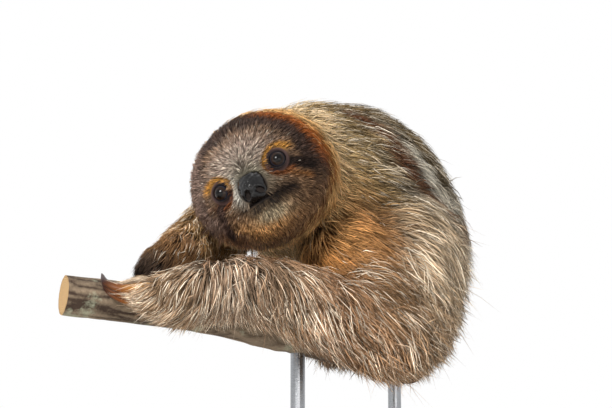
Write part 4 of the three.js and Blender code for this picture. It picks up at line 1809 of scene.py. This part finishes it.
    def _locks(self, r: Roots, middles: Array) -> Array:
        """Draws the tips of neighbours together, so that the coat breaks into locks.

        Each ring moves towards the mean of its lock's rings, by a share that grows towards the tip.

        Args:
            r: the roots.
            middles: the middles of their rings.

        Returns:
            The middles moved.
        """
        _, lock, count = np.unique(r.lock, return_inverse=True, return_counts=True)
        flat = middles.reshape(len(lock), -1)
        mean = np.stack([np.bincount(lock, column) / count for column in flat.T], axis=1)
        mean = mean.reshape(len(count), -1, 3)[lock]
        s = np.linspace(0, 1, middles.shape[1])[None, :, None]
        pull = np.where(r.stray, 0.1, 0.15 + 0.5 * r.chance)[:, None, None] * s**1.3
        return middles + (mean - middles) * pull

    def _piece(
        self, name: str, r: Roots, rings: int, finish: Material, rng: Chances
    ) -> None:
        """One joined mesh of tufts.

        A tuft is a flat three-sided spike: rings of three corners round its line, narrowing to a
        point, with a closed root. Its patch on the unwrap is as wide as it is long.

        Args:
            name: the piece's name.
            r: the roots.
            rings: the number of rings under a tip.
            finish: the tufts' finish.
            rng: the chances.
        """
        middles, normals = self._march(r, rings)
        middles = self._locks(r, middles)
        steps = unit(np.diff(middles, axis=1))
        straight = (steps[:, 1:] * steps[:, :-1]).sum(-1).min(axis=1) > self.least_turn
        r, middles, normals = r.only(straight), middles[straight], normals[straight]
        along = steps[straight]
        bend = rng.normal(size=(len(r.at), rings, 1)) * (self.crimp * r.length[:, None, None])
        ease = np.append(np.ones(rings - 1), 0.3)[:, None]
        middles[:, 1:] += unit(np.cross(along, normals[:, 1:])) * bend * ease
        along = unit(np.diff(middles, axis=1))
        twist = (r.chance - 0.5)[:, None, None] * 1.1
        side = unit(np.cross(along, normals[:, :-1]))
        side = unit(side + np.cross(along, side) * twist)
        over = np.cross(side, along)
        s = np.linspace(0, 1, rings + 1)[:-1]
        wide = (r.width[:, None] * (0.72 + 0.28 * np.sin(np.pi * np.minimum(s * 1.6, 1)))) * (1 - 0.45 * s)
        half = wide[:, :, None] / 2
        middle = middles[:, :-1]
        corners = np.stack([middle + side * half, middle - side * half, middle + over * half * 0.8], axis=2)
        corners = corners.reshape(len(r.at), -1, 3)
        points = np.concatenate([corners, middles[:, -1:]], axis=1)
        per = points.shape[1]
        faces = self._faces(rings)[None] + (np.arange(len(r.at)) * per)[:, None, None]
        mesh = mesh_of(name, points.reshape(-1, 3), faces.reshape(-1, 3))
        tip = np.append(np.repeat(s, 3), 1.0)
        column = np.append(np.tile([0.5, -0.5, 0.0], rings), 0.0)
        give_numbers(
            mesh,
            marking=np.repeat(r.colour, per, axis=0),
            along=np.tile(tip, len(r.at)),
            across=(r.width[:, None] * column).ravel(),
            tuft=np.repeat(rng.permutation(r.chance), per),
        )
        self._unwrap(mesh, r, tip, per)
        piece(mesh, [finish])

    @staticmethod
    def _faces(rings: int) -> Array:
        """The triangles of one tuft, whose corners are numbered ring by ring with the tip last.

        Args:
            rings: the number of rings.

        Returns:
            The triangles' corners.
        """
        made = [(0, 2, 1)]
        for k in range(rings - 1):
            for i in range(3):
                a, b = 3 * k + i, 3 * k + (i + 1) % 3
                made += [(a, b, b + 3), (a, b + 3, a + 3)]
        foot, tip = 3 * (rings - 1), 3 * rings
        made += [(foot + i, foot + (i + 1) % 3, tip) for i in range(3)]
        return np.array(made)[:, ::-1]

    def _unwrap(self, mesh: Mesh, r: Roots, tip: Array, per: int) -> None:
        """The map OFBake: each tuft is a small patch at its root's place on the skin's own unwrap.

        Args:
            mesh: the tufts.
            r: their roots.
            tip: how near the tip each corner of a tuft is.
            per: the number of corners of a tuft.
        """
        home = self._chart(r)
        column = np.append(np.tile([0.0, 1.0, 0.5], (per - 1) // 3), 0.5) - 0.5
        patch = np.stack([column, tip - 0.5], axis=1) * self.patch
        uv = (home[:, None] + patch[None]).reshape(-1, 2)
        turned = np.zeros(len(mesh.loops), np.int32)
        mesh.loops.foreach_get("vertex_index", turned)
        layer = mesh.uv_layers.new(name="OFBake")
        layer.data.foreach_set("uv", uv[turned].astype(np.float32).ravel())

    def _chart(self, r: Roots) -> Array:
        """The skin's unwrap: along and round a tube, or a disc by angle round the face.

        Args:
            r: roots of one part.

        Returns:
            Their places on the unwrap.
        """
        part = int(r.part[0])
        if part < len(TUBES):
            turn = TUBES[part].turn_of(r.at, r.along) / (2 * math.pi) + 0.5
            low, high = r.along.min(), r.along.max()
            chart = np.stack([turn, (r.along - low) / max(high - low, 1e-6)], axis=1)
        else:
            flat = unit(self.plan.head.inside(r.at)[:, [0, 2]])
            chart = flat * (r.along / r.along.max())[:, None] / 2 + 0.5
        return 0.004 + chart * 0.992


# ---------- Eyes, nose, claws ----------


@dataclass(frozen=True)
class Eyes:
    """Two wet eyeballs behind the lids."""

    head: Head
    rows: int = 40
    sides: int = 48
    cornea: float = 0.45

    def build(self) -> None:
        """A ball round the gaze, whose radius grows by a bell over the iris."""
        finish = EyeFinish().build()
        for side, name in ((1, "left"), (-1, "right")):
            middle, gaze = self.head.eye_axis(side)
            across = unit(np.cross(gaze, UP))
            above = np.cross(across, gaze)
            polar = np.pi * np.arange(1, self.rows) / self.rows
            turn = circle(self.sides)
            radius = self.head.eye_radius + self.cornea * hump(polar, 0, 0.5)
            ahead = (np.cos(polar) * radius)[:, None, None] * gaze
            spread = (np.sin(polar) * radius)[:, None, None]
            ring = across * np.cos(turn)[None, :, None] + above * np.sin(turn)[None, :, None]
            local = (middle + ahead + spread * ring).reshape(-1, 3)
            ball = self.head.eye_radius
            poles = [middle + gaze * (ball + self.cornea), middle - gaze * ball]
            points = self.head.out(np.vstack([local, poles]))
            mesh = mesh_of(f"eyeball_{name}", points, tube_faces(self.rows - 1, self.sides))
            shares = np.append(np.repeat(polar / (np.pi / 2), self.sides), [0.0, 2.0])
            give_numbers(mesh, gaze=np.minimum(shares, 1.0))
            piece(mesh, [finish], [f"eye_{name}"])


@dataclass(frozen=True)
class NosePad:
    """The bare nose: a broad pad over the end of the muzzle, with two comma nostrils."""

    head: Head
    thick: float = 3.6
    sunk: float = 0.9
    rows: int = 56
    sides: int = 96
    nostril_x: float = 4.5
    nostril_z: float = -12.6
    squareness: float = 0.56

    def build(self, effects: Effects) -> None:
        """A disc of rings laid on the muzzle and domed over it, closed by a back inside the skin.

        Args:
            effects: the node groups.
        """
        h = self.head
        share = np.arange(1, self.rows + 1) / self.rows
        turn = circle(self.sides)
        top = smooth(-0.6, 1.0, np.sin(turn))
        wide = h.nose_wide * (1 - 0.24 * smooth(0.3, -1.0, np.sin(turn))) * (1 - 0.04 * top)
        across, above = (np.sign(v) * np.abs(v) ** self.squareness for v in (np.cos(turn), np.sin(turn)))
        x = (share[:, None] * wide * across).ravel()
        z = (h.nose_z + share[:, None] * h.nose_tall * above).ravel()
        dome = np.repeat((1 - share**3.2) ** (1 / 2.2), self.sides)
        beside = np.abs(x) + 0.35 * (z - self.nostril_z)
        pit = hump(beside, self.nostril_x, 2.1) * hump(z, self.nostril_z, 2.2)
        groove = 0.9 * hump(x, 0, 0.7) * smooth(-9, -13, z)
        wing = 0.9 * hump(np.abs(x), self.nostril_x + 2.9, 1.9) * hump(z, self.nostril_z + 0.5, 3.6)
        y = h.front(x, z) + self.sunk - self.thick * dome + 5.2 * pit + groove - wing
        flat = np.stack([x, z, 0 * x], axis=1)
        y = y - (0.42 * ripple(flat, 4.6, 71) + 0.16 * ripple(flat, 2.2, 72)) * np.minimum(1, 2 * dome)
        front = np.stack([x, y, z], axis=1)
        back = front[-self.sides :] * (0.8, 1, 0.8) + (0, 5.0, 0.2 * h.nose_z)
        ahead = float(h.front(np.zeros(1), np.full(1, h.nose_z))[0])
        centre = [(0, ahead + self.sunk - self.thick, h.nose_z)]
        rear = [tuple(back.mean(axis=0))]
        points = h.out(np.vstack([front, back, centre, rear]))
        mesh = mesh_of("nose_pad", points, tube_faces(self.rows + 1, self.sides))
        give_numbers(mesh, inner=np.append(smooth(0.45, 0.85, pit), np.zeros(self.sides + 2)))
        piece(mesh, [NoseFinish(effects).build()], ["nose"])


@dataclass(frozen=True)
class Claws:
    """Twelve hooked claws in four rows of three."""

    base: float = 6.0
    tall: float = 1.25
    tip: float = 0.7
    rows: int = 40
    sides: int = 20
    root: float = 5.0
    gather: float = 0.22
    hooks: tuple[tuple[str, Place, tuple[Place, ...]], ...] = (
        (
            "left_hand",
            (0.6, 4.6, -3.8),
            ((-142, -181, 242), (-156, -185, 241), (-167, -183, 246), (-172, -171, 255)),
        ),
        (
            "right_hand",
            (6.2, 2.5, 0),
            ((-135, -146, 266), (-139, -134, 262), (-141, -125, 252), (-140, -124, 240)),
        ),
        ("left_foot", (-1, 7, 1), ((50, 101, 243), (54, 110, 231), (46, 114, 220), (33, 114, 217))),
        ("right_foot", (1, 7, 1), ((18, 145, 248), (17, 153, 236), (25, 157, 225), (39, 157, 222))),
    )

    def build(self) -> None:
        """Makes each claw from its row's middle hook, moved by the row's step."""
        finish = HornFinish().build()
        for limb, step, hook in self.hooks:
            for k in (-1, 0, 1):
                fade = (1 - self.gather * np.arange(len(hook)))[:, None]
                stations = np.array(hook, float) + k * np.array(step, float) * fade
                name = f"{limb}_claw_{k + 2}"
                self._claw(f"horn_{name}", stations, finish, name)

    def _claw(self, name: str, stations: Array, finish: Material, node: str) -> None:
        """A tapered hook: ovals deeper than wide along a smooth line, blunt at a rounded tip.

        Args:
            name: the piece's name.
            stations: places along its middle.
            finish: the horn.
            node: the solid that it stands for.
        """
        t = np.linspace(0, 1, self.rows)
        middle = catmull(stations, t)
        along = unit(catmull(stations, t, slope=True))
        inner = middle[0] - along[0] * self.root
        plane = unit(np.cross(middle[-1] - middle[0], middle[self.rows // 2] - middle[0]))
        radius = (self.base + (self.tip - self.base) * t**2.4) / 2
        radius = np.append(radius[0] * 0.8, radius)
        middle, along = np.vstack([inner, middle]), np.vstack([along[0], along])
        deep = unit(np.cross(plane, along))
        turn = circle(self.sides)
        cos, sin = np.cos(turn)[None, :, None], np.sin(turn)[None, :, None]
        ridge = 1 + 0.10 * np.abs(sin) ** 3
        ring = (plane * cos + deep[:, None] * sin * self.tall * ridge) * radius[:, None, None]
        points = np.vstack(
            [(middle[:, None] + ring).reshape(-1, 3), [inner], [middle[-1] + along[-1] * self.tip * 0.8]]
        )
        mesh = mesh_of(name, points, tube_faces(self.rows + 1, self.sides))
        share = np.append(np.repeat(np.append(0.0, t), self.sides), [0.0, 1.0])
        lobes = np.append(np.tile(np.abs(np.sin(turn)) + 0.3 * np.cos(turn), self.rows + 1), [0.0, 0.0])
        bow = unit(middle[0] + middle[-1] - 2 * middle[self.rows // 2])
        facing = (ring @ bow) / np.linalg.norm(ring, axis=2)
        inside = np.append(np.clip(facing, 0, 1).ravel(), [0.0, 0.5])
        give_numbers(mesh, along=share, round=lobes, inside=inside)
        piece(mesh, [finish], [node])


# ---------- Branch and stand ----------


@dataclass(frozen=True)
class Perch:
    """A cut length of branch with furrowed bark, knots and sawn ends.

    A station is x, y, z and radius. A knot is how far along, at which angle and how wide.
    """

    stations: tuple[tuple[float, ...], ...] = (
        (-197, -169, 243, 13.5), (-165, -156, 241, 14), (-112, -132, 239, 15.5), (-58, -96, 231, 15),
        (-9, -46, 226, 16), (18, 12, 227, 17), (31, 76, 233, 16.5), (36, 140, 240, 16),
        (38, 205, 247, 15),
    )
    rows: int = 420
    sides: int = 96
    relief: float = 1.1
    cut_rows: int = 10
    knots: tuple[Place, ...] = ((52.0, 1.0, 7.0), (150.0, 4.2, 8.0), (300.0, 2.3, 7.0), (430.0, 5.2, 8.0))

    def build(self, effects: Effects) -> None:
        """A tube whose radius rises and falls with furrows along it, and flat ends of rings.

        Args:
            effects: the node groups.
        """
        stations = np.array(self.stations, float)
        t = np.linspace(0, 1, self.rows)
        middle = catmull(stations[:, :3], t)
        along = unit(catmull(stations[:, :3], t, slope=True))
        up = unit(UP - along * dot(along, UP[None]))
        side = np.cross(along, up)
        turn = circle(self.sides)
        radius = catmull(stations[:, 3:], t)[:, 0]
        length = np.cumsum(np.append(0, np.linalg.norm(np.diff(middle, axis=0), axis=1)))
        height = self._height(length, turn, float(radius.mean()))
        full = radius[:, None] - 0.5 + self.relief * (height - 0.6)
        inwards = np.linspace(1, 0, self.cut_rows + 1)[1:-1]
        rows = np.pad(np.arange(self.rows), len(inwards), mode="edge")
        shrink = np.concatenate([inwards[::-1], np.ones(self.rows), inwards])
        grown = full[rows] * shrink[:, None]
        wide, tall = (wave(turn)[None, :, None] * grown[:, :, None] for wave in (np.cos, np.sin))
        ring = side[rows][:, None] * wide + up[rows][:, None] * tall + middle[rows][:, None]
        points = np.vstack([ring.reshape(-1, 3), middle[0], middle[-1]])
        faces = tube_faces(len(rows), self.sides)
        mesh = mesh_of("perch_branch", points, faces)
        shown = np.where(shrink[:, None] < 1, shrink[:, None], height[rows])
        give_numbers(mesh, height=np.append(shown.ravel(), [0, 0]))
        sawn = np.append(np.repeat(shrink < 1, self.sides), [True, True])
        mesh.polygons.foreach_set("material_index", sawn[faces].any(axis=1).astype(np.int32))
        self._sharpen(mesh, len(inwards) * self.sides)
        piece(mesh, [BarkFinish(effects).build(), CutWoodFinish().build()], ["perch"])

    def _sharpen(self, mesh: Mesh, first: int) -> None:
        """Keeps the rims of the two ends sharp.

        Args:
            mesh: the branch.
            first: the number of the first point round the first rim.
        """
        pairs = np.zeros(len(mesh.edges) * 2, np.int32)
        mesh.edges.foreach_get("vertices", pairs)
        ends = pairs.reshape(-1, 2)
        sharp = np.zeros(len(ends), bool)
        for start in (first, first + (self.rows - 1) * self.sides):
            sharp |= ((ends >= start) & (ends < start + self.sides)).all(axis=1)
        mesh.attributes.new("sharp_edge", "BOOLEAN", "EDGE").data.foreach_set("value", sharp)

    def _height(self, length: Array, turn: Array, radius: float) -> Array:
        """Bark from 0 in a furrow to 1 on a ridge: sharpened waves drawn out along the branch.

        Args:
            length: how far along each ring is.
            turn: the angles round it.
            radius: the branch's radius.

        Returns:
            The height, by ring and then by angle.
        """
        s, a = np.meshgrid(length, turn, indexing="ij")
        flat = np.stack([np.cos(a) * radius, np.sin(a) * radius, s * 0.22], axis=2).reshape(-1, 3)
        furrow = 1 - np.abs(ripple(flat + 2.2 * ripple(flat, 14, 61)[:, None], 7.5, 62)) ** 0.7
        swell = ripple(flat, 40, 63)
        knots = np.zeros(len(flat))
        for at, angle, size in self.knots:
            place = np.hypot((s.ravel() - at) * 0.8, (np.angle(np.exp(1j * (a.ravel() - angle)))) * radius)
            knots += 1.3 * hump(place, size, size * 0.45) - 0.5 * hump(place, 0, size * 0.5)
        return (0.75 - 0.55 * furrow + 0.2 * swell + knots * 0.5).reshape(s.shape)


@dataclass(frozen=True)
class Stand:
    """The plate and the two rods, which keep their solids and get their finishes."""

    def build(self, effects: Effects) -> None:
        """Puts wood on the base and steel on the rods.

        Args:
            effects: the node groups.
        """
        finishes = {"stand_base": BaseWoodFinish(effects).build(), "stand_rod": SteelFinish().build()}
        for name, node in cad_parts.items():
            for start, finish in finishes.items():
                if name.startswith(start):
                    node.material_slots[0].material = finish
                    log.info("%s: kept with %s", name, finish.name)


# ---------- Studio ----------


@dataclass(frozen=True)
class Lamp:
    """A soft square lamp that looks at the animal."""

    name: str
    at: Place
    size: float
    watts: float
    tint: Place = (1.0, 1.0, 1.0)


@dataclass(frozen=True)
class Studio:
    """A pale floor, soft lamps, an even world and the camera."""

    target: Place = (-0.040, -0.090, 0.320)
    pitch: float = 12.0
    distance: float = 1.25
    view_width: float = 0.4284
    floor_colour: str = "f2f1ee"
    floor_speck: str = "eeedea"
    floor_sides: int = 96
    floor_radii: tuple[float, ...] = (1.0, 300.0, 1500.0, 3000.0)
    floor_gap: float = 0.0004
    sky: float = 0.36
    lamps: tuple[Lamp, ...] = (
        Lamp("key", (-0.6, -1.1, 0.72), 0.36, 18.5, (1.0, 0.98, 0.95)),
        Lamp("fill", (0.5, -1.3, 0.05), 1.0, 6.0, (1.0, 0.97, 0.94)),
        Lamp("top", (0.1, 0.5, 1.7), 1.2, 6.0),
    )

    def build(self) -> None:
        """Builds all of it."""
        bpy.context.scene.view_settings.view_transform = "Standard"
        self._floor()
        self._world()
        for lamp in self.lamps:
            self._lamp(lamp)
        self._camera()

    def _floor(self) -> None:
        """A wide disc at the base's underside."""
        sides, count = self.floor_sides, len(self.floor_radii)
        turn = circle(sides)
        radii = np.array(self.floor_radii)[:, None]
        flat = np.stack([radii * np.cos(turn), radii * np.sin(turn), 0 * radii * turn], axis=2).reshape(-1, 3)
        points = np.vstack([flat, [(0, 0, 0)]])
        j = np.arange(sides)
        after = (j + 1) % sides
        low = (np.arange(count - 1) * sides)[:, None]
        a, b = (low + j).ravel(), (low + after).ravel()
        hub = np.full(sides, count * sides)
        quads = [np.stack([a, a + sides, b + sides], 1), np.stack([a, b + sides, b], 1)]
        faces = np.vstack([*quads, np.stack([hub, j, after], 1)])
        made = link(mesh_of("studio_floor", points, faces))
        made.location.z = -self.floor_gap
        finish, s = material("floor_matt")
        speck = s.noise(s.place(), 40.0, 2.0)
        colour = s.mix(s.fit(speck, 0.3, 0.7), rgba(self.floor_colour), rgba(self.floor_speck))
        far = s.add("ShaderNodeVectorMath", props={"operation": "LENGTH"}, i0=s.place()).outputs["Value"]
        s.principled(
            Base_Color=colour,
            Roughness=0.9,
            Specular_IOR_Level=0.1,
            Emission_Color=s.grey(s.times(s.seen(), s.fit(far, 0.3, 1.3))),
            Emission_Strength=1.0,
        )
        made.data.materials.append(finish)

    def _world(self) -> None:
        """An even pale light, which shows white behind the object."""
        world = bpy.data.worlds.new("studio_world")
        bpy.context.scene.world = world
        world.use_nodes = True
        s = Sketch(world.node_tree)
        light = s.add("ShaderNodeBackground", Color=(1, 1, 1, 1), Strength=self.sky)
        white = s.add("ShaderNodeBackground", Color=(1, 1, 1, 1), Strength=1.0)
        both = s.add("ShaderNodeMixShader", i0=s.seen(), i1=light.outputs[0], i2=white.outputs[0])
        s.add("ShaderNodeOutputWorld", Surface=both.outputs[0])

    def _lamp(self, lamp: Lamp) -> None:
        """One square area lamp, turned to the target.

        Args:
            lamp: which lamp.
        """
        data = bpy.data.lights.new(f"lamp_{lamp.name}", "AREA")
        data.shape, data.size = "SQUARE", lamp.size
        data.energy, data.color = lamp.watts, lamp.tint
        made = link(data)
        made.location = lamp.at
        made.rotation_euler = (Vector(self.target) - made.location).to_track_quat("-Z", "Y").to_euler()

    def _camera(self) -> None:
        """The camera below and in front, which looks a little upwards along +Y."""
        data = bpy.data.cameras.new("camera")
        made = link(data)
        rise = math.radians(self.pitch)
        look = Vector((0.0, math.cos(rise), math.sin(rise)))
        made.location = Vector(self.target) - look * self.distance
        made.rotation_euler = look.to_track_quat("-Z", "Y").to_euler()
        data.sensor_width = 36.0
        data.lens = data.sensor_width * self.distance / self.view_width
        data.clip_start, data.clip_end = 0.05, 20.0
        bpy.context.scene.camera = made


# ---------- All of it ----------


def main() -> None:
    """Builds the specimen, its stand and the studio."""
    logging.basicConfig(level=logging.INFO, format="%(message)s")
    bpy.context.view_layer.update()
    effects = Effects()
    plan = Plan()
    marks = Markings(plan.head)
    skin = Skin(plan, marks)
    skin.build(effects)
    CoatGrower(plan, marks, skin).grow()
    Eyes(plan.head).build()
    NosePad(plan.head).build(effects)
    Claws().build()
    Perch().build(effects)
    Stand().build(effects)
    Studio().build()


if __name__ == "__main__":
    main()
